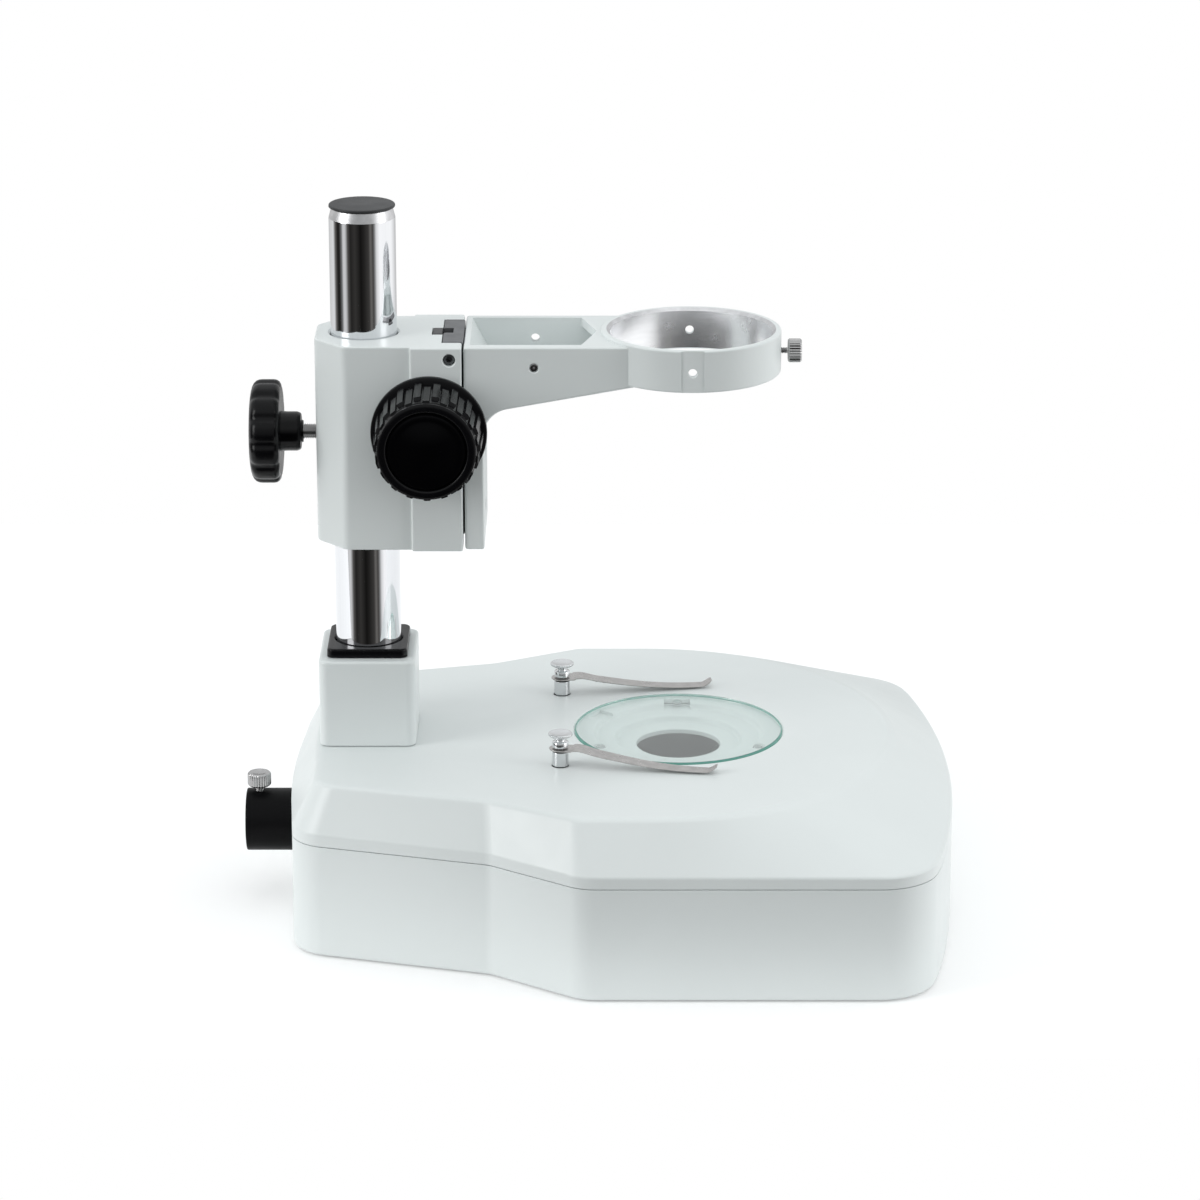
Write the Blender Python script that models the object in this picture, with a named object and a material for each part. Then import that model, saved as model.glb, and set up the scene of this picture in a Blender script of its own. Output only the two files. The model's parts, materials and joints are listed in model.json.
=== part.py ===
"""Pillar stand for a stereo microscope, with a transmitted-light base.

A chromed pole stands in a socket at the back of a wide cast base. A focus mount slides and swivels on
the pole, and a rack and pinion lifts the carriage, whose arm ends in the ring that holds the microscope.
The base carries a round glass stage over a 45 degree mirror, two stage clips and a light-guide tube.

Frame: +Z up, +X towards the user, origin on the floor under the middle of the bounding box.
Lengths below are in millimetres and turn into metres when a mesh is made.
Left and right are those of the user, who faces -X: left is -Y.
"""

import math

import bmesh
import bpy
from mathutils import Matrix, Vector

MM = 0.001
GAP = 0.3  # kept between touching pieces

# Base: plan outline and heights
BASE_HALF_WIDTH = 139.8
BASE_FRONT_X = 168.9
BASE_REAR_X = -146.1
FRONT_ARC_R = 540.0
REAR_ARC_R = 557.0
FRONT_CORNER_R = 28.0
WAIST_OUTER = (-7.5, BASE_HALF_WIDTH)  # where the side turns in towards the narrow rear
WAIST_INNER = (-50.0, 109.1)
REAR_CORNER = (-141.0, 82.7)
WALL_BOTTOM_Z = 0.8
SEAM_Z = 55.1
CHAMFER_Z = 60.9
DECK_Z = 82.7
WALL = 4.0
DECK_THICKNESS = 10.8

# Deck: outline of the flat top inside the wide chamfer
DECK_CENTRE_X = 23.6
DECK_FRONT_A = 116.5
DECK_HALF_WIDTH = 121.3
DECK_WAIST_OUTER = (-9.8, DECK_HALF_WIDTH)
DECK_WAIST_INNER = (-51.4, 98.4)
DECK_REAR_CORNER = (-131.0, 77.0)
DECK_REAR_X = -133.4
EDGE_R = 2.5

# Stage
STAGE_X = 38.6
GLASS_R = 49.8
GLASS_TOP_Z = 83.4
GLASS_THICKNESS = 5.0
SEAT_R = 50.2
STAGE_HOLE_R = 44.0
APERTURE_R = 20.0
MIRROR_Z = 36.6

# Pole and its socket
POLE_X = -108.9
POLE_R = 15.45
POLE_TOP_Z = 338.4
POLE_FOOT_Z = 90.0
SOCKET_SIZE = (45.5, 51.0, 42.0)
COLLAR_SIZE = (38.0, 40.0, 4.0)
RUNNING_GAP = 0.45  # round the pole

# Focus mount
MOUNT_BOTTOM_Z = 181.4
MOUNT_TOP_Z = 279.2
MOUNT_REAR_X = -131.4
MOUNT_STEP_X = -86.4
MOUNT_FRONT_X = -62.7
PLATE_REAR_X = -61.8
PLATE_FRONT_X = -52.7

# Rack drive: module 1, 12 teeth
SHAFT_X = -77.8
SHAFT_Z = 240.4
SHAFT_R = 3.0
TOOTH_MODULE = 1.0
PINION_TEETH = 12
PITCH_R = TOOTH_MODULE * PINION_TEETH / 2
RACK_HALF_WIDTH = 4.0

# Arm and head ring
RING_X = 43.5
RING_BORE_R = 38.0
RING_OUTER_R = 42.0
RING_BOTTOM_Z = 260.7
RING_TOP_Z = 280.6
RING_HOLE_Z = 270.0
ARM_HALF_WIDTH = 30.0
POCKET_HALF_WIDTH = 25.0
POCKET_FLOOR_Z = 264.0
POCKET_END_X = -7.6
POCKET_TIP_X = -0.4
CROSS_HOLE_X = -29.4
CROSS_HOLE_Z = 269.4
RAIL_SCREW_SEAT_X = PLATE_FRONT_X - 4.4

# Light guide
GUIDE_Z = 36.6
GUIDE_REAR_X = -168.9
GUIDE_FRONT_X = -112.0
GUIDE_R = 15.0
GUIDE_BORE_R = 12.5
GUIDE_SCREW_X = -162.7

# Stage clips
CLIP_X = -17.5
CLIP_Y = 50.8
CLIP_LENGTH = 74.0
CLIP_SPLAY = math.radians(8.5)
CLIP_THICKNESS = 0.5

FEET = ((112.0, 112.0), (112.0, -112.0), (-116.0, 62.0), (-116.0, -62.0))


# ---------------------------------------------------------------- materials

def material(name, colour, roughness, metallic=0.0, alpha=1.0):
    made = bpy.data.materials.new(name)
    made.use_nodes = True
    shader = made.node_tree.nodes["Principled BSDF"]
    shader.inputs["Base Color"].default_value = (*colour, 1.0)
    shader.inputs["Roughness"].default_value = roughness
    shader.inputs["Metallic"].default_value = metallic
    shader.inputs["Alpha"].default_value = alpha
    return made


def make_materials():
    return {
        "enamel": material("white_enamel", (0.72, 0.75, 0.74), 0.38),
        "chrome": material("chrome", (0.80, 0.80, 0.81), 0.06, 1.0),
        "nickel": material("nickel", (0.70, 0.69, 0.67), 0.25, 1.0),
        "steel": material("dark_steel", (0.16, 0.16, 0.17), 0.45, 1.0),
        "zinc": material("zinc_steel", (0.55, 0.55, 0.56), 0.4, 1.0),
        "black": material("black_plastic", (0.012, 0.012, 0.013), 0.35),
        "gloss": material("gloss_black", (0.008, 0.008, 0.009), 0.08),
        "rubber": material("black_rubber", (0.03, 0.03, 0.03), 0.8),
        "glass": material("stage_glass", (0.75, 0.92, 0.88), 0.03, 0.0, 0.35),
        "mirror": material("mirror", (0.75, 0.76, 0.77), 0.03, 1.0),
        "brass": material("brass", (0.62, 0.45, 0.18), 0.35, 1.0),
    }


# ---------------------------------------------------------------- shapes: (points, faces) in millimetres

def facets(radius):
    """Sides of a turned shape: enough for its size, so that small pieces stay light."""
    for limit, count in ((2.6, 12), (6.5, 16), (14.0, 20), (27.5, 32)):
        if radius < limit:
            return count
    return 48


def turned(profile, segments=None):
    """A profile of (radius, height) points turned about Z. A closed bore has both ends off the axis."""
    segments = segments or facets(max(radius for radius, _ in profile))
    points, rings = [], []
    for radius, height in profile:
        if radius < 1e-9:
            rings.append([len(points)])
            points.append(Vector((0, 0, height)))
            continue
        rings.append(list(range(len(points), len(points) + segments)))
        for k in range(segments):
            turn = 2 * math.pi * k / segments
            points.append(Vector((radius * math.cos(turn), radius * math.sin(turn), height)))
    pairs = list(zip(rings, rings[1:]))
    if len(rings[0]) > 1 and len(rings[-1]) > 1:
        pairs.append((rings[-1], rings[0]))
    faces = []
    for first, second in pairs:
        for k in range(segments):
            corners = [
                first[k % len(first)],
                first[(k + 1) % segments % len(first)],
                second[(k + 1) % segments % len(second)],
                second[k % len(second)],
            ]
            faces.append(list(dict.fromkeys(corners)))
    return points, faces


def rod(radius, low, high, segments=None):
    return turned([(0, low), (radius, low), (radius, high), (0, high)], segments)


def tube(outer, inner, low, high):
    return turned([(outer, low), (outer, high), (inner, high), (inner, low)])


def stacked(rings, closed_loop=False):
    """Joins rings of equally many points, one above the other; the ends are capped unless they meet."""
    count = len(rings[0])
    points = [Vector(p) for ring in rings for p in ring]
    pairs = [(i, i + 1) for i in range(len(rings) - 1)]
    if closed_loop:
        pairs.append((len(rings) - 1, 0))
    faces = []
    for a, b in pairs:
        for k in range(count):
            n = (k + 1) % count
            faces.append([a * count + k, a * count + n, b * count + n, b * count + k])
    if not closed_loop:
        faces.append(list(range(count))[::-1])
        faces.append([(len(rings) - 1) * count + k for k in range(count)])
    return points, faces


def at_height(outline, z):
    return [(x, y, z) for x, y in outline]


def prism(outline, low, high):
    return stacked([at_height(outline, low), at_height(outline, high)])


def block(low, high):
    x0, y0, z0 = low
    x1, y1, z1 = high
    return prism([(x0, y0), (x1, y0), (x1, y1), (x0, y1)], z0, z1)


def moved(shape, x=0.0, y=0.0, z=0.0):
    points, faces = shape
    return [p + Vector((x, y, z)) for p in points], faces


def turned_to(shape, axis):
    """Turns a shape made about +Z so that it points along axis."""
    points, faces = shape
    turn = Vector((0, 0, 1)).rotation_difference(Vector(axis)).to_matrix()
    return [turn @ p for p in points], faces


def side_on(shape):
    """Lays an (x, z) outline, extruded in Z, on its side, so that it is extruded in Y."""
    points, faces = shape
    return [Vector((p.x, p.z, p.y)) for p in points], faces


def together(*shapes):
    points, faces = [], []
    for more_points, more_faces in shapes:
        start = len(points)
        points += more_points
        faces += [[start + k for k in face] for face in more_faces]
    return points, faces


# ---------------------------------------------------------------- outlines: lists of (x, y)

def fillet(before, corner, after, radius, steps):
    """The arc that rounds a corner between two straight runs."""
    b, c, a = Vector(before), Vector(corner), Vector(after)
    back, ahead = (b - c).normalized(), (a - c).normalized()
    half = back.angle(ahead) / 2
    middle = c + (back + ahead).normalized() * radius / math.sin(half)
    start = c + back * radius / math.tan(half) - middle
    end = c + ahead * radius / math.tan(half) - middle
    swing = start.angle_signed(end)
    arc = [start.copy() for _ in range(steps + 1)]
    for k, spoke in enumerate(arc):
        spoke.rotate(Matrix.Rotation(-swing * k / steps, 2))
    return [tuple(middle + spoke) for spoke in arc]


def rounded(corners, radii, steps=4):
    outline = []
    for k, corner in enumerate(corners):
        if radii[k] == 0:
            outline.append(corner)
        else:
            ahead = corners[(k + 1) % len(corners)]
            outline += fillet(corners[k - 1], corner, ahead, radii[k], steps)
    return outline


def rounded_box(width, depth, radius, x=0.0, y=0.0, steps=4):
    w, d = width / 2, depth / 2
    corners = [(x - w, y - d), (x + w, y - d), (x + w, y + d), (x - w, y + d)]
    return rounded(corners, [radius] * 4, steps)


def both_sides(half):
    """Completes an outline drawn for +Y, from the front of the centreline to the back of it."""
    return half + [(x, -y) for x, y in half[-2:0:-1]]


def inset(outline, distance):
    """The outline moved inwards by a distance; outlines run anticlockwise."""
    moved_in = []
    for k, here in enumerate(outline):
        back = (Vector(here) - Vector(outline[k - 1])).normalized()
        ahead = (Vector(outline[(k + 1) % len(outline)]) - Vector(here)).normalized()
        along = (back + ahead).normalized()
        inward = Vector((-along.y, along.x))
        reach = distance / max(0.5, along.dot(ahead))
        moved_in.append(tuple(Vector(here) + inward * reach))
    return moved_in


def front_arc_x(y):
    return BASE_FRONT_X - FRONT_ARC_R + math.sqrt(FRONT_ARC_R**2 - y**2)


def rear_arc_x(y, apex):
    return apex + REAR_ARC_R - math.sqrt(REAR_ARC_R**2 - y**2)


def wall_outline():
    """The outer wall of the base in plan, with as many points as deck_outline."""
    corner = (front_arc_x(BASE_HALF_WIDTH), BASE_HALF_WIDTH)
    turn = fillet((front_arc_x(100), 100), corner, (0, BASE_HALF_WIDTH), FRONT_CORNER_R, 6)
    half = [(front_arc_x(y), y) for y in [turn[0][1] * k / 8 for k in range(8)]]
    half += turn
    end_x = turn[-1][0]
    half += [(end_x + (DECK_CENTRE_X - end_x) * k / 4, BASE_HALF_WIDTH) for k in (1, 2, 3, 4)]
    half += fillet((0, BASE_HALF_WIDTH), WAIST_OUTER, WAIST_INNER, 20, 4)
    half += fillet(WAIST_OUTER, WAIST_INNER, REAR_CORNER, 14, 4)
    half += fillet(WAIST_INNER, REAR_CORNER, (BASE_REAR_X, 40), 20, 6)
    half += [(rear_arc_x(y, BASE_REAR_X), y) for y in (45, 22, 0)]
    return both_sides(half)


def deck_outline():
    """The edge of the flat deck in plan: a half ellipse in front, the waist and the rear behind it."""
    angles = [math.radians(48) * k / 8 for k in range(8)]
    angles += [math.radians(48 + 12 * k / 6) for k in range(7)]
    angles += [math.radians(60 + 30 * k / 4) for k in (1, 2, 3, 4)]
    half = [(DECK_CENTRE_X + DECK_FRONT_A * math.cos(t), DECK_HALF_WIDTH * math.sin(t)) for t in angles]
    half += fillet((0, DECK_HALF_WIDTH), DECK_WAIST_OUTER, DECK_WAIST_INNER, 12, 4)
    half += fillet(DECK_WAIST_OUTER, DECK_WAIST_INNER, DECK_REAR_CORNER, 20, 4)
    half += fillet(DECK_WAIST_INNER, DECK_REAR_CORNER, (DECK_REAR_X, 40), 14, 6)
    half += [(rear_arc_x(y, DECK_REAR_X), y) for y in (42, 21, 0)]
    return both_sides(half)


def between(first, second, share):
    return [(a + (c - a) * share, b + (d - b) * share) for (a, b), (c, d) in zip(first, second)]


# ---------------------------------------------------------------- objects

def body_frame(name, x=0.0, y=0.0, z=0.0, parent=None):
    """An empty on a joint's axis; everything that moves about it hangs from it."""
    frame = bpy.data.objects.new(name, None)
    frame.empty_display_size = 0.01
    here = Vector((x, y, z)) * MM
    frame["place"] = here
    frame.parent = parent
    frame.location = here - (Vector(parent["place"]) if parent else Vector())
    bpy.context.scene.collection.objects.link(frame)
    return frame


def mesh_object(name, shape, frame):
    points, faces = shape
    origin = Vector(frame["place"])
    mesh = bpy.data.meshes.new(name)
    mesh.from_pydata([p * MM - origin for p in points], [], faces)
    work = bmesh.new()
    work.from_mesh(mesh)
    bmesh.ops.recalc_face_normals(work, faces=work.faces)
    work.to_mesh(mesh)
    work.free()
    made = bpy.data.objects.new(name, mesh)
    made.parent = frame
    bpy.context.scene.collection.objects.link(made)
    return made


def piece(name, shape, look, frame, edge=0.0, sharp=35):
    """One named solid. edge, if given, rounds its sharp edges by that many millimetres."""
    made = mesh_object(name, shape, frame)
    made.data.materials.append(look)
    made.data.shade_smooth()
    made.data.set_sharp_from_angle(angle=math.radians(sharp))
    if edge:
        bevel = made.modifiers.new("edges", "BEVEL")
        bevel.width = edge * MM
        bevel.segments = 1
        bevel.limit_method = "ANGLE"
        bevel.angle_limit = math.radians(sharp)
    return made


def combine(made, operation, shape, solver="EXACT"):
    """Adds a Boolean with a hidden helper of the given shape."""
    helper = mesh_object(f"{made.name}.{operation.lower()}", shape, made.parent)
    helper.hide_render = True
    helper.display_type = "WIRE"
    step = made.modifiers.new(operation.lower(), "BOOLEAN")
    step.operation = operation
    step.solver = solver
    step.object = helper


def cut(made, *shapes, solver="EXACT"):
    for shape in shapes:
        combine(made, "DIFFERENCE", shape, solver)


def fuse(made, *shapes, solver="EXACT"):
    for shape in shapes:
        combine(made, "UNION", shape, solver)


# ---------------------------------------------------------------- base

def boss(x, y):
    """A screw column with a rib that ties it to the nearest side wall."""
    side = 1 if y > 0 else -1
    half = 2.5
    wall_y = abs(y) + (26.0 if x > 0 else 25.5)
    arc = [(x + 7 * math.cos(t), side * (abs(y) + 7 * math.sin(t)))
           for t in [math.radians(112 + 316 * k / 16) for k in range(17)]]
    outline = [(x - half, side * wall_y), *arc, (x + half, side * wall_y)]
    return prism(outline, 5.3, 50.0)


def make_lower_housing(look, frame):
    outer = wall_outline()
    inner = inset(outer, WALL)
    rings = [at_height(outer, WALL_BOTTOM_Z), at_height(outer, SEAM_Z),
             at_height(inner, SEAM_Z), at_height(inner, WALL_BOTTOM_Z)]
    made = piece("lower_housing", stacked(rings, closed_loop=True), look, frame)
    fuse(made, together(*[boss(x, y) for x, y in FEET]))
    screw_holes = [moved(rod(2.3, 0, 24), x, y) for x, y in FEET]
    tube_hole = moved(turned_to(rod(GUIDE_R + GAP, -150, -130), (1, 0, 0)), 0, 0, GUIDE_Z)
    cut(made, together(*screw_holes, tube_hole))


def cover_rings():
    """The outside of the cover, as rings from the seam up to the deck, with both edges rounded."""
    wall, deck = wall_outline(), deck_outline()
    run = 18.5
    profile = fillet((0, SEAM_Z), (0, CHAMFER_Z), (run, DECK_Z), EDGE_R, 1)
    profile += fillet((0, CHAMFER_Z), (run, DECK_Z), (run * 2, DECK_Z), EDGE_R, 2)
    rings = [at_height(wall, SEAM_Z + GAP)]
    for inwards, z in profile:
        share = min(1.0, inwards / run)
        outline = between(wall, deck, share)
        if inwards > run:
            outline = inset(deck, inwards - run)
        rings.append(at_height(outline, z))
    return rings


def make_top_cover(look, frame):
    wall, deck = wall_outline(), deck_outline()
    inner_wall = inset(wall, WALL)
    ceiling = DECK_Z - DECK_THICKNESS
    rings = cover_rings()[::-1]
    rings += [at_height(inner_wall, SEAM_Z + GAP), at_height(inner_wall, CHAMFER_Z - 1),
              at_height(deck, ceiling)]
    made = piece("top_cover", stacked(rings), look, frame, sharp=30)
    seat = moved(rod(SEAT_R, GLASS_TOP_Z - 7.7, DECK_Z + 5), STAGE_X)
    window = moved(rod(STAGE_HOLE_R, 55, DECK_Z), STAGE_X)
    post_holes = [moved(rod(2.3, 60, 90), CLIP_X, y) for y in (-CLIP_Y, CLIP_Y)]
    bolt_holes = [moved(rod(3.4, 60, 90), x, y) for x, y in socket_bolt_places()]
    pole_hole = moved(rod(4.4, 60, 90), POLE_X)
    cut(made, seat, together(window, pole_hole, *post_holes, *bolt_holes))


def make_bottom_plate(look, frame):
    outline = inset(wall_outline(), WALL + GAP)
    made = piece("bottom_plate", prism(outline, 3.0, 5.0), look, frame)
    cut(made, together(*[moved(rod(2.3, 0, 8), x, y) for x, y in FEET]))


def make_feet(rubber, zinc, frame):
    names = ("front_right", "front_left", "rear_right", "rear_left")
    for name, (x, y) in zip(names, FEET):
        foot = [(4.6, 0), (10.4, 0), (11, 0.6), (11, 2.7), (2.3, 2.7), (2.3, 1.7), (4.6, 1.7)]
        piece(f"foot_{name}", moved(turned(foot), x, y), rubber, frame)
        screw = [(0, 0.6), (3.3, 0.6), (3.9, 1.0), (3.9, 1.4), (1.9, 1.4), (1.9, 20), (0, 20)]
        piece(f"foot_screw_{name}", moved(turned(screw), x, y), zinc, frame)


def insert_screw_angles():
    return [math.radians(90 + 120 * k) for k in range(3)]


def make_stage_insert(enamel, nickel, frame):
    """A white stepped ring that hangs in the deck's window, under the glass."""
    top = GLASS_TOP_Z - GLASS_THICKNESS - GAP
    profile = [
        (SEAT_R - GAP, top - 2.0), (SEAT_R - GAP, top), (40.3, top), (39.2, top - 2.8),
        (30.2, top - 3.0), (29.2, top - 5.8), (APERTURE_R, top - 6.2), (APERTURE_R, top - 8.5),
        (31.0, top - 8.5), (STAGE_HOLE_R - GAP, top - 5.0), (STAGE_HOLE_R - GAP, top - 2.0),
    ]
    made = piece("stage_insert", moved(turned(profile), STAGE_X), enamel, frame)
    notches = []
    for k, turn in enumerate(insert_screw_angles()):
        x, y = STAGE_X + 43.0 * math.cos(turn), 43.0 * math.sin(turn)
        notches.append(moved(rod(3.4, top - 0.9, top + 1), x, y))
        head = [(0, top - 0.6), (2.4, top - 0.6), (2.2, top - 0.2), (0, top - 0.15)]
        piece(f"insert_screw_{k + 1}", moved(turned(head), x, y), nickel, frame)
    cut(made, together(*notches))


def make_mirror(mirror, zinc, frame):
    """A plane mirror at 45 degrees, which turns the light from the rear tube up through the stage."""
    slope = math.sqrt(0.5)
    half = 30.0

    def across(along, off):
        return (STAGE_X + (along - off) * slope, MIRROR_Z + (along + off) * slope)

    glass = [across(-half, -2), across(half, -2), across(half, 2), across(-half, 2)]
    piece("mirror", side_on(prism(glass, -34, 34)), mirror, frame)
    front_x = across(half, -2.3)[0]
    foot_z = 5.3
    low = across(-half, -2.3)
    sheet = [
        (low[0], low[1]), across(half, -2.3), across(half, -4.3),
        (low[0] + 4.3, low[1] + 1.5), (low[0] + 4.3, foot_z + 2), (front_x, foot_z + 2),
        (front_x, foot_z), (low[0], foot_z),
    ]
    piece("mirror_bracket", side_on(prism(sheet, -32, 32)), zinc, frame)


def socket_bolt_places():
    """Two screws on a diagonal, beside the pole."""
    return [(POLE_X + side * 16.3, side * 18.8) for side in (-1, 1)]


def make_pillar_socket(enamel, black, zinc, frame):
    width, depth, height = SOCKET_SIZE
    low, high = DECK_Z + GAP, DECK_Z + GAP + height
    outline = rounded_box(width, depth, 4.0, POLE_X)
    made = piece("pillar_socket", prism(outline, low, high), enamel, frame, edge=0.8, sharp=50)
    bolt_holes = [moved(rod(3.4, low - 2, low + 18), x, y) for x, y in socket_bolt_places()]
    bore = moved(rod(POLE_R + RUNNING_GAP, POLE_FOOT_Z - GAP, high + 5), POLE_X)
    cut(made, bore, together(moved(rod(4.4, low - 5, POLE_FOOT_Z), POLE_X), *bolt_holes))
    width, depth, height = COLLAR_SIZE
    outline = rounded_box(width, depth, 3.0, POLE_X)
    collar = prism(outline, high + GAP, high + GAP + height)
    made = piece("socket_collar", collar, black, frame, edge=0.6, sharp=50)
    cut(made, moved(rod(POLE_R + RUNNING_GAP, high - 5, high + 9), POLE_X))
    ceiling = DECK_Z - DECK_THICKNESS
    for k, (x, y) in enumerate(socket_bolt_places()):
        top = ceiling - GAP
        bolt = [(0, top - 6), (5, top - 6), (5, top), (3, top), (3, low + 16), (0, low + 16)]
        piece(f"socket_bolt_{k + 1}", moved(turned(bolt), x, y), zinc, frame)


def make_clip_posts(nickel, black, frame):
    low = DECK_Z + GAP
    post = [(0, low - 8), (2.0, low - 8), (2.0, low), (3.85, low), (3.85, low + 6.6), (3.6, low + 6.9),
            (1.5, low + 6.9), (1.5, low + 14), (0, low + 14)]
    washer_z = low + 6.9 + GAP
    for side, name in ((1, "right"), (-1, "left")):
        piece(f"clip_post_{name}", moved(turned(post), CLIP_X, side * CLIP_Y), nickel, frame)
        washer = tube(3.8, 1.8, washer_z, washer_z + 0.6)
        piece(f"clip_washer_{name}", moved(washer, CLIP_X, side * CLIP_Y), black, frame)


def make_light_guide(black, zinc, frame):
    length = GUIDE_FRONT_X - GUIDE_REAR_X
    profile = [(GUIDE_R - 0.6, 0), (GUIDE_R, 0.6), (GUIDE_R, length), (GUIDE_BORE_R, length),
               (GUIDE_BORE_R, 1.0), (GUIDE_BORE_R + 1.0, 0)]
    shape = moved(turned_to(turned(profile), (1, 0, 0)), GUIDE_REAR_X, 0, GUIDE_Z)
    made = piece("light_guide_tube", shape, black, frame)
    cut(made, moved(rod(2.3, GUIDE_Z + 5, GUIDE_Z + 20), GUIDE_SCREW_X))
    nut_x = BASE_REAR_X + WALL + 1.2
    hexagon = turned_to(rod(20.0, 0, 6, 6), (1, 0, 0))
    made = piece("tube_nut", moved(hexagon, nut_x, 0, GUIDE_Z), zinc, frame)
    bore = turned_to(rod(GUIDE_R + GAP, -5, 12), (1, 0, 0))
    cut(made, moved(bore, nut_x, 0, GUIDE_Z))


def thumb_head(radius, height):
    """A knurled screw head: coarse straight knurls between two chamfers."""
    knurls = 16
    rings = []
    for z, scale in ((0, 0.90), (0.5, 1.0), (height - 0.5, 1.0), (height, 0.90)):
        ring = []
        for k in range(knurls * 2):
            turn = math.pi * k / knurls
            r = radius * scale * (1.0 if k % 2 else 0.955)
            ring.append((r * math.cos(turn), r * math.sin(turn), z))
        rings.append(ring)
    return stacked(rings)


def make_guide_screw(nickel, feed_frame, turn_frame):
    head_z = GUIDE_Z + GUIDE_R + 2.5
    piece("guide_screw_pin", moved(rod(1.9, GUIDE_Z + 11.2, head_z - GAP), GUIDE_SCREW_X),
          nickel, feed_frame)
    piece("guide_screw_head", moved(thumb_head(5.65, 6.5), GUIDE_SCREW_X, 0, head_z), nickel, turn_frame)


# ---------------------------------------------------------------- stage

def make_stage_glass(glass, frame):
    low = GLASS_TOP_Z - GLASS_THICKNESS
    profile = [(0, low), (GLASS_R - 0.5, low), (GLASS_R, low + 0.5), (GLASS_R, GLASS_TOP_Z - 0.5),
               (GLASS_R - 0.5, GLASS_TOP_Z), (0, GLASS_TOP_Z)]
    piece("stage_glass", moved(turned(profile), STAGE_X), glass, frame)


def clip_height(along):
    """Height of the strap's underside over the deck, along its length from the post."""
    root = 7.9 + GAP
    if along < 5.5:
        return root
    rise = 0.9 * math.exp(-(((along - 10) / 5.0) ** 2))
    fall = 0.5 - 0.5 * math.cos(math.pi * min(1.0, (along - 5.5) / (CLIP_LENGTH - 14)) ** 0.72)
    lift = 2.6 * max(0.0, (along - CLIP_LENGTH + 4.5) / 4.5) ** 1.4
    return root - (root - 1.0) * fall + rise * (1 - fall) + lift


def clip_half_width(along):
    if along < 0:
        return max(1.2, math.sqrt(max(0.0, 5.2**2 - along**2)))
    if along < 12:
        return 5.2 - 0.35 * along / 12
    end = max(0.0, (along - CLIP_LENGTH + 1.5) / 1.5)
    return 4.85 - 1.6 * (along - 12) / (CLIP_LENGTH - 12) - 1.2 * end**2


def make_clip(name, side, look, frame):
    places = [-5.2, -4.9, -4.2, -3.0, -1.5, 0, 3, 5.5, 7.5, 9.5, 12, 15, 19, 24, 30, 37, 44, 51, 58, 64,
              69.5, 71, 72.5, 73.3, 74]
    splay = CLIP_SPLAY * side
    rings = []
    for along in places:
        half, z = clip_half_width(along), DECK_Z + clip_height(along)
        ring = []
        for off, up in ((-half, 0), (half, 0), (half, CLIP_THICKNESS), (-half, CLIP_THICKNESS)):
            x = CLIP_X + along * math.cos(splay) - off * math.sin(splay)
            y = side * CLIP_Y + along * math.sin(splay) + off * math.cos(splay)
            ring.append((x, y, z + up))
        rings.append(ring)
    made = piece(name, stacked(rings), look, frame)
    cut(made, moved(rod(1.85, 85, 99), CLIP_X, side * CLIP_Y))


def make_clip_knob(name, side, look, frame):
    low = DECK_Z + 9.0 + GAP
    profile = [(1.8, low), (3.75, low), (3.75, low + 2.7), (2.25, low + 3.1), (2.25, low + 4.0),
               (5.7, low + 5.8), (5.7, low + 6.6), (5.2, low + 7.0), (0, low + 7.3), (0, low + 5.8),
               (1.8, low + 5.8)]
    piece(name, moved(turned(profile), CLIP_X, side * CLIP_Y), look, frame)


# ---------------------------------------------------------------- pole

def make_pole(chrome, black, zinc, frame):
    profile = [(4.4, POLE_FOOT_Z), (POLE_R - 0.5, POLE_FOOT_Z), (POLE_R, POLE_FOOT_Z + 0.5),
               (POLE_R, POLE_TOP_Z - 4.5), (POLE_R - 0.6, POLE_TOP_Z - 3.6),
               (POLE_R - 0.7, POLE_TOP_Z), (11.5, POLE_TOP_Z), (11.5, POLE_TOP_Z - 14),
               (0, POLE_TOP_Z - 14), (0, POLE_FOOT_Z + 26), (4.4, POLE_FOOT_Z + 26)]
    piece("pole", moved(turned(profile), POLE_X), chrome, frame)
    top = POLE_TOP_Z + GAP + 1.5
    cap = [(0, POLE_TOP_Z - 10), (11.2, POLE_TOP_Z - 10), (11.2, POLE_TOP_Z + GAP),
           (15.2, POLE_TOP_Z + GAP), (15.4, POLE_TOP_Z + GAP + 0.3), (15.4, top - 0.4),
           (14.9, top), (0, top)]
    piece("pole_cap", moved(turned(cap), POLE_X), black, frame)
    ceiling = DECK_Z - DECK_THICKNESS - GAP
    bolt = [(0, ceiling - 7), (7, ceiling - 7), (7, ceiling), (4, ceiling), (4, POLE_FOOT_Z + 22),
            (0, POLE_FOOT_Z + 22)]
    piece("pole_bolt", moved(turned(bolt), POLE_X), zinc, frame)


# ---------------------------------------------------------------- focus mount

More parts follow.
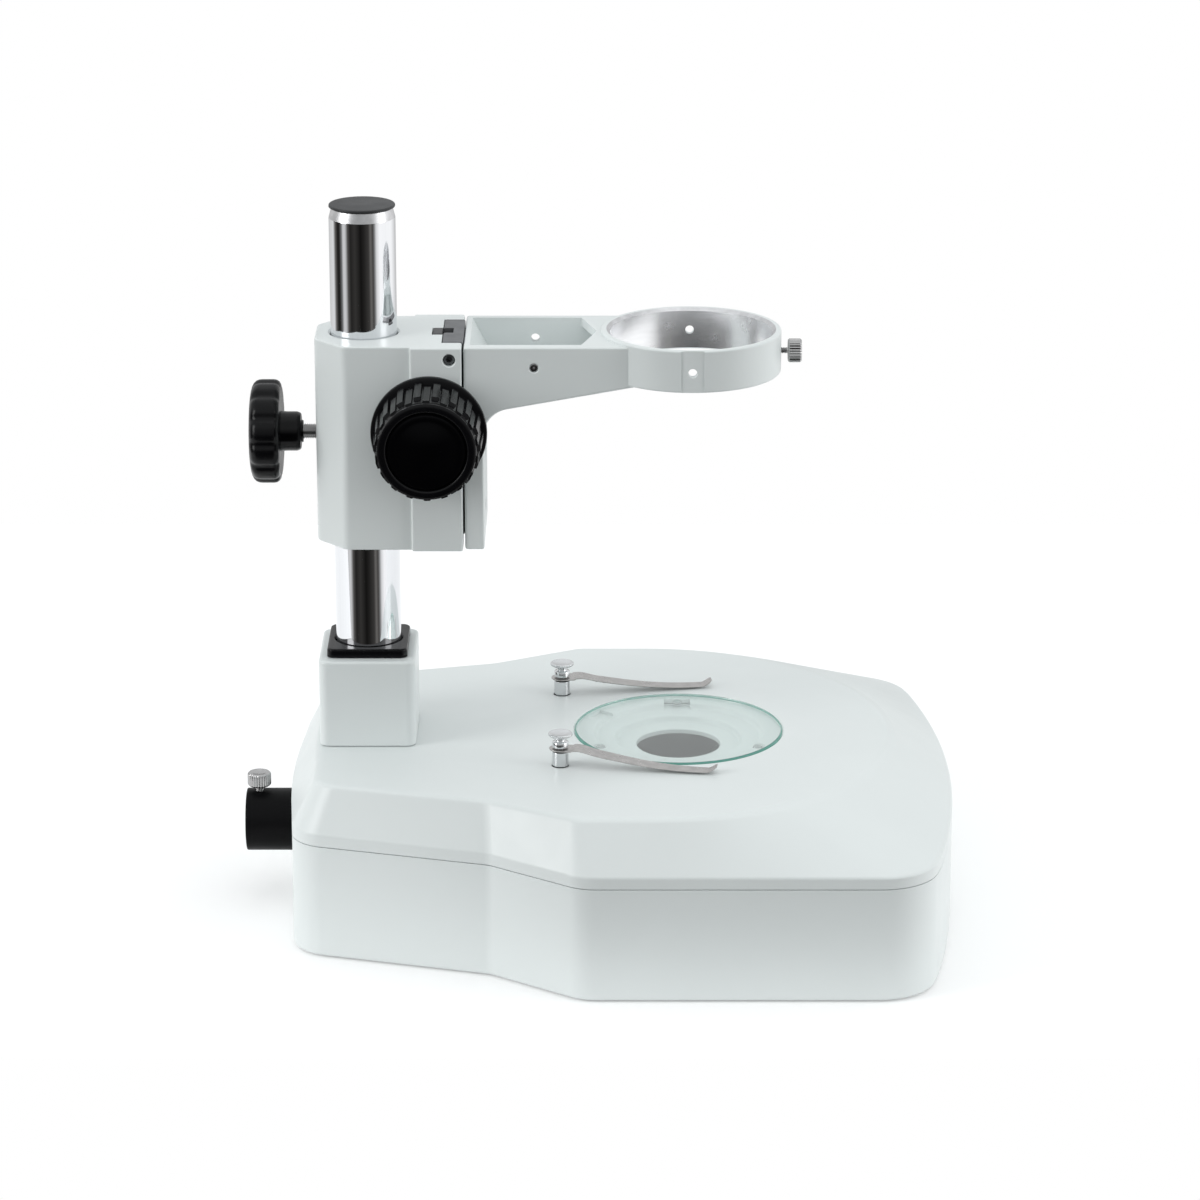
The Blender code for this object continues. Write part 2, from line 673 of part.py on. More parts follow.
def make_focus_body(look, frame):
    half, front_half = 29.0, 31.5
    corners = [(MOUNT_REAR_X, -13), (MOUNT_REAR_X + 14, -half), (MOUNT_STEP_X, -half),
               (MOUNT_STEP_X, -front_half), (MOUNT_FRONT_X, -front_half), (MOUNT_FRONT_X, front_half),
               (MOUNT_STEP_X, front_half), (MOUNT_STEP_X, half), (MOUNT_REAR_X + 14, half),
               (MOUNT_REAR_X, 13)]
    shape = prism(corners, MOUNT_BOTTOM_Z, MOUNT_TOP_Z)
    made = piece("focus_body", shape, look, frame, edge=1.2, sharp=20)
    low, high = MOUNT_BOTTOM_Z - 5, MOUNT_TOP_Z + 5
    bore_r = POLE_R + RUNNING_GAP
    bore = [(0, low), (bore_r, low), (bore_r, MOUNT_TOP_Z - 1), (bore_r + 1, MOUNT_TOP_Z),
            (bore_r + 1, high), (0, high)]
    rail_slot = block((-72.1, -21.4, low), (-55, 21.4, high))
    stop_slot = block((-77.1, -6.3, low), (-70, 6.3, high))
    pinion_pocket = moved(turned_to(rod(7.6, -5.5, 5.5), (0, 1, 0)), SHAFT_X, 0, SHAFT_Z)
    shaft_bore = moved(turned_to(rod(5.5, -40, 40), (0, 1, 0)), SHAFT_X, 0, SHAFT_Z)
    stud_bore = moved(turned_to(rod(3.5, -140, -118), (1, 0, 0)), 0, 0, clamp_z())
    gib_hole = moved(turned_to(rod(2.9, -40, -20), (0, 1, 0)), gib_x(), 0, gib_z())
    cut(made, moved(turned(bore), POLE_X), rail_slot, stop_slot, pinion_pocket, shaft_bore,
        together(stud_bore, gib_hole))


def clamp_z():
    return MOUNT_TOP_Z - 48.3


def gib_x():
    return MOUNT_FRONT_X - 5.7


def gib_z():
    return MOUNT_TOP_Z - 5.8


def make_mount_fittings(looks, frame):
    bush = tube(5.2, SHAFT_R + GAP, 0, 8)
    for side, name in ((1, "right"), (-1, "left")):
        outward = moved(turned_to(bush, (0, side, 0)), SHAFT_X, side * 23.2, SHAFT_Z)
        piece(f"shaft_bush_{name}", outward, looks["brass"], frame)
    screw = [(0, 0), (2.6, 0), (2.6, 7.4), (2.3, 7.8), (1.6, 7.8), (0.9, 6.0), (0, 6.0)]
    shape = moved(turned_to(turned(screw), (0, -1, 0)), gib_x(), -21.8, gib_z())
    piece("gib_screw", shape, looks["steel"], frame)
    pad = turned_to(rod(3.2, -127.2, -124.75), (1, 0, 0))
    piece("clamp_pad", moved(pad, 0, 0, clamp_z()), looks["brass"], frame)


def make_clamp(looks, feed_frame, turn_frame):
    stud = [(0, -150), (2.6, -150), (3.0, -149.4), (3.0, -128.0), (2.6, -127.5), (0, -127.5)]
    shape = moved(turned_to(turned(stud), (1, 0, 0)), 0, 0, clamp_z())
    piece("clamp_stud", shape, looks["zinc"], feed_frame)
    flutes, wheel_r = 12, 24.3
    rings = []
    for x, scale in ((-162.4, 0.5), (-160.3, 0.91), (-158.6, 1.0), (-150.0, 1.0), (-148.2, 0.9)):
        ring = []
        for k in range(flutes * 4):
            turn = 2 * math.pi * k / (flutes * 4)
            r = wheel_r * scale * (1 - 0.035 * (0.5 + 0.5 * math.cos(flutes * turn)) ** 2)
            ring.append((r * math.cos(turn), r * math.sin(turn), x))
        rings.append(ring)
    wheel = moved(turned_to(stacked(rings), (1, 0, 0)), 0, 0, clamp_z())
    made = piece("clamp_knob", wheel, looks["black"], turn_frame, sharp=50)
    hub = turned([(0, -155), (9.25, -155), (9.25, -140), (8.4, -139), (5.2, -139), (5.2, -138),
                  (0, -138)])
    fuse(made, moved(turned_to(hub, (1, 0, 0)), 0, 0, clamp_z()))
    cut(made, moved(turned_to(rod(3.35, -151, -130), (1, 0, 0)), 0, 0, clamp_z()))


# ---------------------------------------------------------------- focus drive

def make_pinion(look, frame):
    """Straight teeth with 20 degree flanks, one of them pointing at the rack."""
    addendum, dedendum, backlash = 0.9, 1.2, 0.3
    flank = math.tan(math.radians(20))
    outline = []
    for k in range(PINION_TEETH):
        turn = 2 * math.pi * k / PINION_TEETH
        width = (math.pi * TOOTH_MODULE / 2 - backlash) / 2
        for radius, side in ((-dedendum, -1), (addendum, -1), (addendum, 1), (-dedendum, 1)):
            off = side * (width - radius * flank)
            r = PITCH_R + radius
            outline.append((r * math.cos(turn) - off * math.sin(turn),
                            r * math.sin(turn) + off * math.cos(turn)))
    half = RACK_HALF_WIDTH - 0.2
    shape = side_on(prism(outline, -half, half))
    made = piece("pinion", moved(shape, SHAFT_X, 0, SHAFT_Z), look, frame, sharp=15)
    cut(made, moved(turned_to(rod(SHAFT_R + GAP, -9, 9), (0, 1, 0)), SHAFT_X, 0, SHAFT_Z))


def make_focus_knobs(looks, frame):
    """Black grip knobs on both ends of the shaft, each with a glossy disc let into its face."""
    knob = [(SHAFT_R + GAP, 32.2), (13.0, 32.2), (13.0, 35.0), (26.5, 35.0), (26.9, 38.6),
            (25.6, 39.6), (24.0, 67.0), (22.4, 69.0), (18.2, 69.0), (18.2, 66.6), (SHAFT_R + GAP, 66.6)]
    cap = [(0, 66.9), (17.8, 66.9), (17.6, 69.4), (10.0, 71.7), (0, 72.1)]
    for side, name in ((1, "right"), (-1, "left")):
        outward = (0, side, 0)
        shape = moved(turned_to(turned(knob), outward), SHAFT_X, 0, SHAFT_Z)
        piece(f"focus_knob_{name}", shape, looks["black"], frame)
        shape = moved(turned_to(turned(cap), outward), SHAFT_X, 0, SHAFT_Z)
        piece(f"knob_cap_{name}", shape, looks["gloss"], frame)
    shaft = turned_to(rod(SHAFT_R, -66, 66), (0, 1, 0))
    piece("focus_shaft", moved(shaft, SHAFT_X, 0, SHAFT_Z), looks["zinc"], frame)


# ---------------------------------------------------------------- carriage

def rail_screw_heights():
    return (195.0, 222.0)


def make_slide_rail(looks, frame):
    rail = block((-71.8, -21, 186.4), (PLATE_REAR_X - GAP, 21, MOUNT_TOP_Z + 0.4))
    made = piece("slide_rail", rail, looks["steel"], frame, edge=0.5)
    groove = block((-75, -RACK_HALF_WIDTH - GAP, 180), (-67.1, RACK_HALF_WIDTH + GAP, 300))
    holes = [moved(turned_to(rod(2.3, -66.4, -60), (1, 0, 0)), 0, 0, z) for z in rail_screw_heights()]
    cut(made, groove, together(*holes))
    stop = block((-76.7, -5.9, 273.0), (-71.8 - GAP, 5.9, MOUNT_TOP_Z + 0.2))
    piece("travel_stop", stop, looks["steel"], frame, edge=0.4)
    for k, z in enumerate(rail_screw_heights()):
        x = RAIL_SCREW_SEAT_X
        screw = [(0, -66.0), (2.0, -66.0), (2.0, x + GAP), (3.5, x + GAP), (3.5, x + 4.3), (1.6, x + 4.3),
                 (1.6, x + 2.3), (0, x + 2.3)]
        shape = moved(turned_to(turned(screw), (1, 0, 0)), 0, 0, z)
        piece(f"rail_screw_{k + 1}", shape, looks["steel"], frame)


def make_rack(look, frame):
    """Teeth on the rear face, with a gap where the pinion's tooth points."""
    pitch = math.pi * TOOTH_MODULE
    pitch_x = SHAFT_X + PITCH_R
    addendum, dedendum, backlash = 0.8, 1.25, 0.3
    flank = math.tan(math.radians(20))
    width = (pitch / 2 - backlash) / 2
    teeth_down, teeth_up = 16, 8
    outline = [(-67.4, SHAFT_Z - (teeth_down + 0.5) * pitch), (-67.4, SHAFT_Z + (teeth_up + 0.5) * pitch)]
    for k in range(teeth_up, -teeth_down, -1):
        middle = SHAFT_Z + (k - 0.5) * pitch
        for out, side in ((-dedendum, 1), (addendum, 1), (addendum, -1), (-dedendum, -1)):
            outline.append((pitch_x - out, middle + side * (width - out * flank)))
    shape = side_on(prism(outline, -RACK_HALF_WIDTH, RACK_HALF_WIDTH))
    piece("rack", shape, look, frame, sharp=15)


def arm_profile():
    """The arm seen from the side: a level top, a rising underside and the carriage plate."""
    near_ring = (19.0, 260.4)
    corner = (PLATE_FRONT_X, 247.6)
    top_front = (19.0, MOUNT_TOP_Z)
    foot = (PLATE_FRONT_X, MOUNT_BOTTOM_Z + 0.5)
    return [(PLATE_REAR_X, MOUNT_BOTTOM_Z + 0.5), foot, *fillet(foot, corner, near_ring, 11, 5),
            near_ring, top_front, (PLATE_REAR_X, MOUNT_TOP_Z)]


def make_arm(look, frame):
    shape = side_on(prism(arm_profile(), -ARM_HALF_WIDTH, ARM_HALF_WIDTH))
    made = piece("arm", shape, look, frame, edge=1.2, sharp=28)
    soft = 0.8
    ring = turned([(0, RING_BOTTOM_Z), (RING_OUTER_R - soft, RING_BOTTOM_Z),
                   (RING_OUTER_R, RING_BOTTOM_Z + soft), (RING_OUTER_R, RING_TOP_Z - soft),
                   (RING_OUTER_R - soft, RING_TOP_Z), (0, RING_TOP_Z)])
    fuse(made, moved(ring, RING_X), solver="MANIFOLD")
    low, high = RING_BOTTOM_Z - 20, RING_TOP_Z + 10
    bore = turned([(0, low), (RING_BORE_R, low), (RING_BORE_R, RING_TOP_Z - 1),
                   (RING_BORE_R + 1.5, RING_TOP_Z + 0.5), (RING_BORE_R + 1.5, high), (0, high)])
    half = POCKET_HALF_WIDTH
    plate_z = MOUNT_TOP_Z - 4.0
    point = [(POCKET_END_X - 4, -half + 0.1), (POCKET_END_X, -half + 0.1), (POCKET_TIP_X, 0),
             (POCKET_END_X, half - 0.1), (POCKET_END_X - 4, half - 0.1)]
    hollow = [(PLATE_REAR_X + 10.8, POCKET_FLOOR_Z), (2.0, POCKET_FLOOR_Z), (2.0, plate_z),
              (POCKET_END_X, plate_z), (POCKET_END_X, 285), (PLATE_REAR_X - 0.2, 285)]
    side_flats = [block((RING_X - 5.3, y - 4, 255), (RING_X + 5.3, y + 4, 285)) for y in (-45.3, 45.3)]
    side_hole = turned_to(rod(2.05, -50, 50), (0, 1, 0))
    front_hole = turned_to(rod(1.8, 30, 50), (1, 0, 0))
    wall_hole = turned_to(rod(2.1, -40, 40), (0, 1, 0))
    rail_holes = []
    for z in rail_screw_heights():
        hole = [(0, -70), (2.3, -70), (2.3, RAIL_SCREW_SEAT_X), (3.8, RAIL_SCREW_SEAT_X),
                (3.8, -45), (0, -45)]
        rail_holes.append(moved(turned_to(turned(hole), (1, 0, 0)), 0, 0, z))
    cut(made, moved(bore, RING_X), prism(point, plate_z - 1, 285), side_on(prism(hollow, -half, half)),
        together(*side_flats), moved(side_hole, RING_X, 0, RING_HOLE_Z),
        together(moved(front_hole, RING_X, 0, RING_HOLE_Z), moved(wall_hole, CROSS_HOLE_X, 0, CROSS_HOLE_Z),
                 *rail_holes), solver="MANIFOLD")
    grub = turned([(0, 0), (1.8, 0), (1.8, 3.6), (1.4, 4.0), (0.9, 4.0), (0.7, 2.4), (0, 2.4)])
    grub = moved(turned_to(grub, (0, -1, 0)), CROSS_HOLE_X, -25.4, CROSS_HOLE_Z)
    piece("arm_grub_screw", grub, look_of("nickel"), frame)


def make_ring_screw(nickel, feed_frame, turn_frame):
    head_x = RING_X + RING_OUTER_R + 3.1
    pin = turned_to(rod(1.5, RING_X + RING_BORE_R - 2, head_x - GAP), (1, 0, 0))
    piece("ring_screw_pin", moved(pin, 0, 0, RING_HOLE_Z), nickel, feed_frame)
    head = turned_to(thumb_head(5.6, 6.4), (1, 0, 0))
    piece("ring_screw_head", moved(head, head_x, 0, RING_HOLE_Z), nickel, turn_frame)


# ---------------------------------------------------------------- assembly

def clear_scene():
    for old in list(bpy.data.objects):
        bpy.data.objects.remove(old, do_unlink=True)


def build():
    looks = make_materials()
    enamel, nickel, zinc, black = looks["enamel"], looks["nickel"], looks["zinc"], looks["black"]

    base = body_frame("base_frame")
    make_lower_housing(enamel, base)
    make_top_cover(enamel, base)
    make_bottom_plate(zinc, base)
    make_feet(looks["rubber"], zinc, base)
    make_stage_insert(enamel, nickel, base)
    make_mirror(looks["mirror"], zinc, base)
    make_pillar_socket(enamel, black, zinc, base)
    make_clip_posts(nickel, black, base)
    make_light_guide(black, zinc, base)
    guide_feed = body_frame("guide_screw_feed", GUIDE_SCREW_X, 0, GUIDE_Z, base)
    guide_turn = body_frame("guide_screw_turn", GUIDE_SCREW_X, 0, GUIDE_Z, guide_feed)
    make_guide_screw(nickel, guide_feed, guide_turn)

    make_stage_glass(looks["glass"], body_frame("glass_frame", STAGE_X, 0, GLASS_TOP_Z, base))
    for side, name in ((1, "right"), (-1, "left")):
        post = body_frame(f"clip_frame_{name}", CLIP_X, side * CLIP_Y, DECK_Z, base)
        make_clip(f"stage_clip_{name}", side, nickel, post)
        knob = body_frame(f"clip_knob_frame_{name}", CLIP_X, side * CLIP_Y, DECK_Z, base)
        make_clip_knob(f"clip_knob_{name}", side, nickel, knob)

    pillar = body_frame("pillar_frame", POLE_X, 0, 0, base)
    make_pole(looks["chrome"], black, zinc, pillar)

    mount = body_frame("mount_frame", POLE_X, 0, MOUNT_BOTTOM_Z, pillar)
    make_focus_body(enamel, mount)
    make_mount_fittings(looks, mount)
    clamp_feed = body_frame("clamp_feed", MOUNT_REAR_X, 0, clamp_z(), mount)
    clamp_turn = body_frame("clamp_turn", MOUNT_REAR_X, 0, clamp_z(), clamp_feed)
    make_clamp(looks, clamp_feed, clamp_turn)

    drive = body_frame("drive_frame", SHAFT_X, 0, SHAFT_Z, mount)
    make_pinion(looks["steel"], drive)
    make_focus_knobs(looks, drive)

    carriage = body_frame("carriage_frame", PLATE_REAR_X, 0, MOUNT_BOTTOM_Z, mount)
    make_slide_rail(looks, carriage)
    make_rack(looks["steel"], carriage)
    make_arm(enamel, carriage)
    ring_feed = body_frame("ring_screw_feed", RING_X + RING_OUTER_R, 0, RING_HOLE_Z, carriage)
    ring_turn = body_frame("ring_screw_turn", RING_X + RING_OUTER_R, 0, RING_HOLE_Z, ring_feed)
    make_ring_screw(nickel, ring_feed, ring_turn)


def look_of(name):
    return bpy.data.materials[name]


clear_scene()
build()
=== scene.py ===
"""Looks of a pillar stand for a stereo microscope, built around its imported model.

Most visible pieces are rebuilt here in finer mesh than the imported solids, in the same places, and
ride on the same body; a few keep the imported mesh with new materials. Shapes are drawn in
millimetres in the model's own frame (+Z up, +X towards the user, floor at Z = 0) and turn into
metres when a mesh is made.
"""

import json
import math

import bmesh
import bpy
from mathutils import Matrix, Vector


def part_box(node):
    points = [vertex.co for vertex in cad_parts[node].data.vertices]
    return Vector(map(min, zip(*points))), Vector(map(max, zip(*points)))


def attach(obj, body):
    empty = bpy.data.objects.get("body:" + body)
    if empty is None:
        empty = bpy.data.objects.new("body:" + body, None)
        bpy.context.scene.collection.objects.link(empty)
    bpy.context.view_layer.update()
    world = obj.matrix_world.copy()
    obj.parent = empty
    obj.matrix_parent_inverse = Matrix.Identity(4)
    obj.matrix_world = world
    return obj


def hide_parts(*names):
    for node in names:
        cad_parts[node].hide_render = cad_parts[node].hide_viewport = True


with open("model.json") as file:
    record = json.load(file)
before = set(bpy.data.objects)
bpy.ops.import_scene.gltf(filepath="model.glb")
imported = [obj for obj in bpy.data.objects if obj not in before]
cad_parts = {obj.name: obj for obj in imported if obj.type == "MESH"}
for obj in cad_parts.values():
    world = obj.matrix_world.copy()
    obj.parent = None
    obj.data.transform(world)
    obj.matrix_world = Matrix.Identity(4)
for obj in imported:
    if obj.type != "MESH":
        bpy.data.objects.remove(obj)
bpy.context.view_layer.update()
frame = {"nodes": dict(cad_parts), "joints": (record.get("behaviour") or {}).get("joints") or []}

MM = 0.001
ROUND = 128  # sides of a large turned shape
EDGE_STEPS = 3  # segments of a rounded edge
X_AXIS, Y_AXIS = (1, 0, 0), (0, 1, 0)


def low(node):
    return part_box(node)[0] / MM


def high(node):
    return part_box(node)[1] / MM


def joint_at(name):
    return Vector(next(j for j in frame["joints"] if j["name"] == name)["pos_m"]) / MM


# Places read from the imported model
POLE_X = joint_at("pillar_swivel").x
POLE_TOP_Z = high("pole").z
POLE_R = (high("pole").x - low("pole").x) / 2
STAGE_X = (low("stage_glass").x + high("stage_glass").x) / 2
GLASS_R = (high("stage_glass").x - low("stage_glass").x) / 2
GLASS_TOP_Z = high("stage_glass").z
DECK_Z = high("top_cover").z
SEAM_Z = high("lower_housing").z
BASE_BOTTOM_Z = low("lower_housing").z
BASE_HALF_WIDTH = high("lower_housing").y
BASE_FRONT_X = high("lower_housing").x
BASE_REAR_X = low("lower_housing").x
MOUNT_LOW, MOUNT_HIGH = low("focus_body"), high("focus_body")
SHAFT = joint_at("focus_turn")
CLAMP_Z = joint_at("clamp_turn").z
RING_HOLE_Z = joint_at("ring_screw_turn").z
GUIDE_Z = (low("light_guide_tube").z + high("light_guide_tube").z) / 2
GUIDE_SCREW_X = joint_at("guide_screw_turn").x
CLIP = joint_at("clip_right_swing")
RING_TOP_Z = high("arm").z
ARM_TOP_Z = MOUNT_HIGH.z
PLATE_REAR_X = low("arm").x

# Base outline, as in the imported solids
FRONT_ARC_R = 540.0
REAR_ARC_R = 557.0
FRONT_CORNER_R = 28.0
WAIST_OUTER = (-7.5, BASE_HALF_WIDTH)
WAIST_INNER = (-50.0, 109.1)
REAR_CORNER = (-141.0, 82.7)
CHAMFER_Z = 60.9
DECK_CENTRE_X = 23.6
DECK_FRONT_A = 116.5
DECK_HALF_WIDTH = 121.3
DECK_WAIST_OUTER = (-9.8, DECK_HALF_WIDTH)
DECK_WAIST_INNER = (-51.4, 98.4)
DECK_REAR_CORNER = (-131.0, 77.0)
DECK_REAR_X = -133.4
WALL = 4.0
DECK_THICKNESS = 10.8
SLOPE_RUN = 18.5  # from the wall to the deck, in plan
STAGE_HOLE_R = 44.0
EDGE_R = 2.5

# Ring and arm
RING_X = 43.5
RING_BORE_R = 38.0
RING_OUTER_R = 42.0
RING_BOTTOM_Z = 260.7
ARM_HALF_WIDTH = 30.0
PLATE_FRONT_X = -52.7
POCKET_HALF_WIDTH = 25.0
POCKET_FLOOR_Z = 264.0
POCKET_END_X = -7.6
POCKET_TIP_X = -0.4


# ---- shapes: (points, faces) in millimetres

def turned(profile, segments=ROUND):
    """A profile of (radius, height) points turned about Z. A closed bore has both ends off the axis."""
    points, rings = [], []
    for radius, height in profile:
        if radius < 1e-9:
            rings.append([len(points)])
            points.append(Vector((0, 0, height)))
            continue
        rings.append(list(range(len(points), len(points) + segments)))
        for k in range(segments):
            turn = 2 * math.pi * k / segments
            points.append(Vector((radius * math.cos(turn), radius * math.sin(turn), height)))
    pairs = list(zip(rings, rings[1:]))
    if len(rings[0]) > 1 and len(rings[-1]) > 1:
        pairs.append((rings[-1], rings[0]))
    faces = []
    for first, second in pairs:
        for k in range(segments):
            corners = [
                first[k % len(first)],
                first[(k + 1) % segments % len(first)],
                second[(k + 1) % segments % len(second)],
                second[k % len(second)],
            ]
            faces.append(list(dict.fromkeys(corners)))
    return points, faces


def eased(profile, radius, steps=4):
    """Rounds the inner corners of an open profile. radius is one number, or one for each point."""
    radii = radius if isinstance(radius, (list, tuple)) else [radius] * len(profile)
    made = [profile[0]]
    for k in range(1, len(profile) - 1):
        back = (Vector(profile[k - 1]) - Vector(profile[k])).length
        ahead = (Vector(profile[k + 1]) - Vector(profile[k])).length
        reach = min(radii[k], back * 0.45, ahead * 0.45)
        straight = (Vector(profile[k]) - Vector(profile[k - 1])).angle(
            Vector(profile[k + 1]) - Vector(profile[k])) < math.radians(6)
        if reach < 0.02 or straight:
            made.append(profile[k])
        else:
            made += fillet(profile[k - 1], profile[k], profile[k + 1], reach, steps, by_reach=True)
    return made + [profile[-1]]


def rod(radius, bottom, top, segments=ROUND):
    return turned([(0, bottom), (radius, bottom), (radius, top), (0, top)], segments)


def stacked(rings, closed_loop=False):
    """Joins rings of equally many points, one above the other; the ends are capped unless they meet."""
    count = len(rings[0])
    points = [Vector(p) for ring in rings for p in ring]
    pairs = [(i, i + 1) for i in range(len(rings) - 1)]
    if closed_loop:
        pairs.append((len(rings) - 1, 0))
    faces = []
    for a, b in pairs:
        for k in range(count):
            n = (k + 1) % count
            faces.append([a * count + k, a * count + n, b * count + n, b * count + k])
    if not closed_loop:
        faces.append(list(range(count))[::-1])
        faces.append([(len(rings) - 1) * count + k for k in range(count)])
    return points, faces


def at_height(outline, z):
    return [(x, y, z) for x, y in outline]


def prism(outline, bottom, top):
    return stacked([at_height(outline, bottom), at_height(outline, top)])


def block(near, far):
    x0, y0, z0 = near
    x1, y1, z1 = far
    return prism([(x0, y0), (x1, y0), (x1, y1), (x0, y1)], z0, z1)


def moved(shape, x=0.0, y=0.0, z=0.0):
    points, faces = shape
    return [p + Vector((x, y, z)) for p in points], faces


def aimed(shape, axis):
    """Turns a shape made about +Z so that it points along axis."""
    points, faces = shape
    turn = Vector((0, 0, 1)).rotation_difference(Vector(axis)).to_matrix()
    return [turn @ p for p in points], faces


def laid(shape, axis, x=0.0, y=0.0, z=0.0):
    return moved(aimed(shape, axis), x, y, z)


def side_on(shape):
    """Lays an (x, z) outline, extruded in Z, on its side, so that it is extruded in Y."""
    points, faces = shape
    return [Vector((p.x, p.z, p.y)) for p in points], faces


def together(*shapes):
    points, faces = [], []
    for more_points, more_faces in shapes:
        start = len(points)
        points += more_points
        faces += [[start + k for k in face] for face in more_faces]
    return points, faces


def rings_about(profile, around, shaped):
    """A ring for each (radius, height) of a profile; shaped(radius, turn, height) gives the true radius."""
    rings = []
    for radius, z in profile:
        ring = []
        for k in range(around):
            turn = 2 * math.pi * k / around
            r = shaped(radius, turn, z)
            ring.append((r * math.cos(turn), r * math.sin(turn), z))
        rings.append(ring)
    return rings


def threaded(radius, pitch, bottom, top, around=32):
    """A screw shank with a helical thread and a plain lead at both ends."""
    depth, lead_in = pitch * 0.6, 0.1
    along = int((top - bottom) / pitch * 8)

    def thread(radius, turn, z):
        phase = (z / pitch - turn / (2 * math.pi)) % 1.0
        fade = min(1.0, (z - bottom) / pitch, (top - z) / pitch)
        return radius - depth * abs(2 * phase - 1) * fade - lead_in * (1 - fade)

    profile = [(radius, bottom + (top - bottom) * i / along) for i in range(along + 1)]
    return stacked(rings_about(profile, around, thread))


def knurled(profile, count, depth, from_z, to_z):
    """A turned shape with straight knurls between two heights; the profile starts and ends on the axis."""
    def knurl(radius, turn, z):
        groove = (0.5 + 0.5 * math.cos(count * turn)) ** 1.5 if from_z <= z <= to_z else 0.0
        return radius - depth * groove

    return stacked(rings_about(profile[1:-1], count * 6, knurl))


# ---- outlines: lists of (x, y)

def fillet(before, corner, after, radius, steps, by_reach=False):
    """The arc that rounds a corner. by_reach: radius is how far the arc starts from the corner."""
    b, c, a = Vector(before), Vector(corner), Vector(after)
    back, ahead = (b - c).normalized(), (a - c).normalized()
    half = back.angle(ahead) / 2
    if by_reach:
        radius *= math.tan(half)
    middle = c + (back + ahead).normalized() * radius / math.sin(half)
    start = c + back * radius / math.tan(half) - middle
    end = c + ahead * radius / math.tan(half) - middle
    swing = start.angle_signed(end)
    arc = [start.copy() for _ in range(steps + 1)]
    for k, spoke in enumerate(arc):
        spoke.rotate(Matrix.Rotation(-swing * k / steps, 2))
    return [tuple(middle + spoke) for spoke in arc]


def rounded(corners, radii, steps=8):
    outline = []
    for k, corner in enumerate(corners):
        if radii[k] == 0:
            outline.append(corner)
        else:
            ahead = corners[(k + 1) % len(corners)]
            outline += fillet(corners[k - 1], corner, ahead, radii[k], steps)
    return outline


def rounded_box(width, depth, radius, x=0.0, y=0.0, steps=10):
    w, d = width / 2, depth / 2
    corners = [(x - w, y - d), (x + w, y - d), (x + w, y + d), (x - w, y + d)]
    return rounded(corners, [radius] * 4, steps)


def both_sides(half):
    """Completes an outline drawn for +Y, from the front of the centreline to the back of it."""
    return half + [(x, -y) for x, y in half[-2:0:-1]]


def inset(outline, distance):
    """The outline moved inwards by a distance; outlines run anticlockwise."""
    moved_in = []
    for k, here in enumerate(outline):
        back = (Vector(here) - Vector(outline[k - 1])).normalized()
        ahead = (Vector(outline[(k + 1) % len(outline)]) - Vector(here)).normalized()
        along = (back + ahead).normalized()
        inward = Vector((-along.y, along.x))
        reach = distance / max(0.5, along.dot(ahead))
        moved_in.append(tuple(Vector(here) + inward * reach))
    return moved_in


FRONT_POINTS, CORNER_POINTS, SIDE_POINTS, WAIST_POINTS, REAR_POINTS = 24, 18, 10, 12, 16


def front_arc_x(y):
    return BASE_FRONT_X - FRONT_ARC_R + math.sqrt(FRONT_ARC_R**2 - y**2)


def rear_arc(apex, widest):
    """The slightly hollow rear edge, from near the corner to the centreline."""
    ys = [widest * (1 - k / 8) for k in range(9)]
    return [(apex + REAR_ARC_R - math.sqrt(REAR_ARC_R**2 - y**2), y) for y in ys]


def wall_outline():
    """The outer wall of the base in plan, with as many points as deck_outline."""
    corner = (front_arc_x(BASE_HALF_WIDTH), BASE_HALF_WIDTH)
    turn = fillet((front_arc_x(100), 100), corner, (0, BASE_HALF_WIDTH), FRONT_CORNER_R, CORNER_POINTS)
    half = [(front_arc_x(y), y) for y in [turn[0][1] * k / FRONT_POINTS for k in range(FRONT_POINTS)]]
    half += turn
    end_x = turn[-1][0]
    half += [(end_x + (DECK_CENTRE_X - end_x) * (k + 1) / SIDE_POINTS, BASE_HALF_WIDTH)
             for k in range(SIDE_POINTS)]
    half += fillet((0, BASE_HALF_WIDTH), WAIST_OUTER, WAIST_INNER, 20, WAIST_POINTS)
    half += fillet(WAIST_OUTER, WAIST_INNER, REAR_CORNER, 14, WAIST_POINTS)
    half += fillet(WAIST_INNER, REAR_CORNER, (BASE_REAR_X, 40), 20, REAR_POINTS)
    half += rear_arc(BASE_REAR_X, 45)
    return both_sides(half)


def deck_outline():
    """The edge of the flat deck in plan: a half ellipse in front, the waist and the rear behind it."""
    angles = [math.radians(48) * k / FRONT_POINTS for k in range(FRONT_POINTS)]
    angles += [math.radians(48 + 12 * k / CORNER_POINTS) for k in range(CORNER_POINTS + 1)]
    angles += [math.radians(60 + 30 * (k + 1) / SIDE_POINTS) for k in range(SIDE_POINTS)]
    half = [(DECK_CENTRE_X + DECK_FRONT_A * math.cos(t), DECK_HALF_WIDTH * math.sin(t)) for t in angles]
    half += fillet((0, DECK_HALF_WIDTH), DECK_WAIST_OUTER, DECK_WAIST_INNER, 12, WAIST_POINTS)
    half += fillet(DECK_WAIST_OUTER, DECK_WAIST_INNER, DECK_REAR_CORNER, 20, WAIST_POINTS)
    half += fillet(DECK_WAIST_INNER, DECK_REAR_CORNER, (DECK_REAR_X, 40), 14, REAR_POINTS)
    half += rear_arc(DECK_REAR_X, 42)
    return both_sides(half)


def between(first, second, share):
    return [(a + (c - a) * share, b + (d - b) * share) for (a, b), (c, d) in zip(first, second)]


# ---- materials

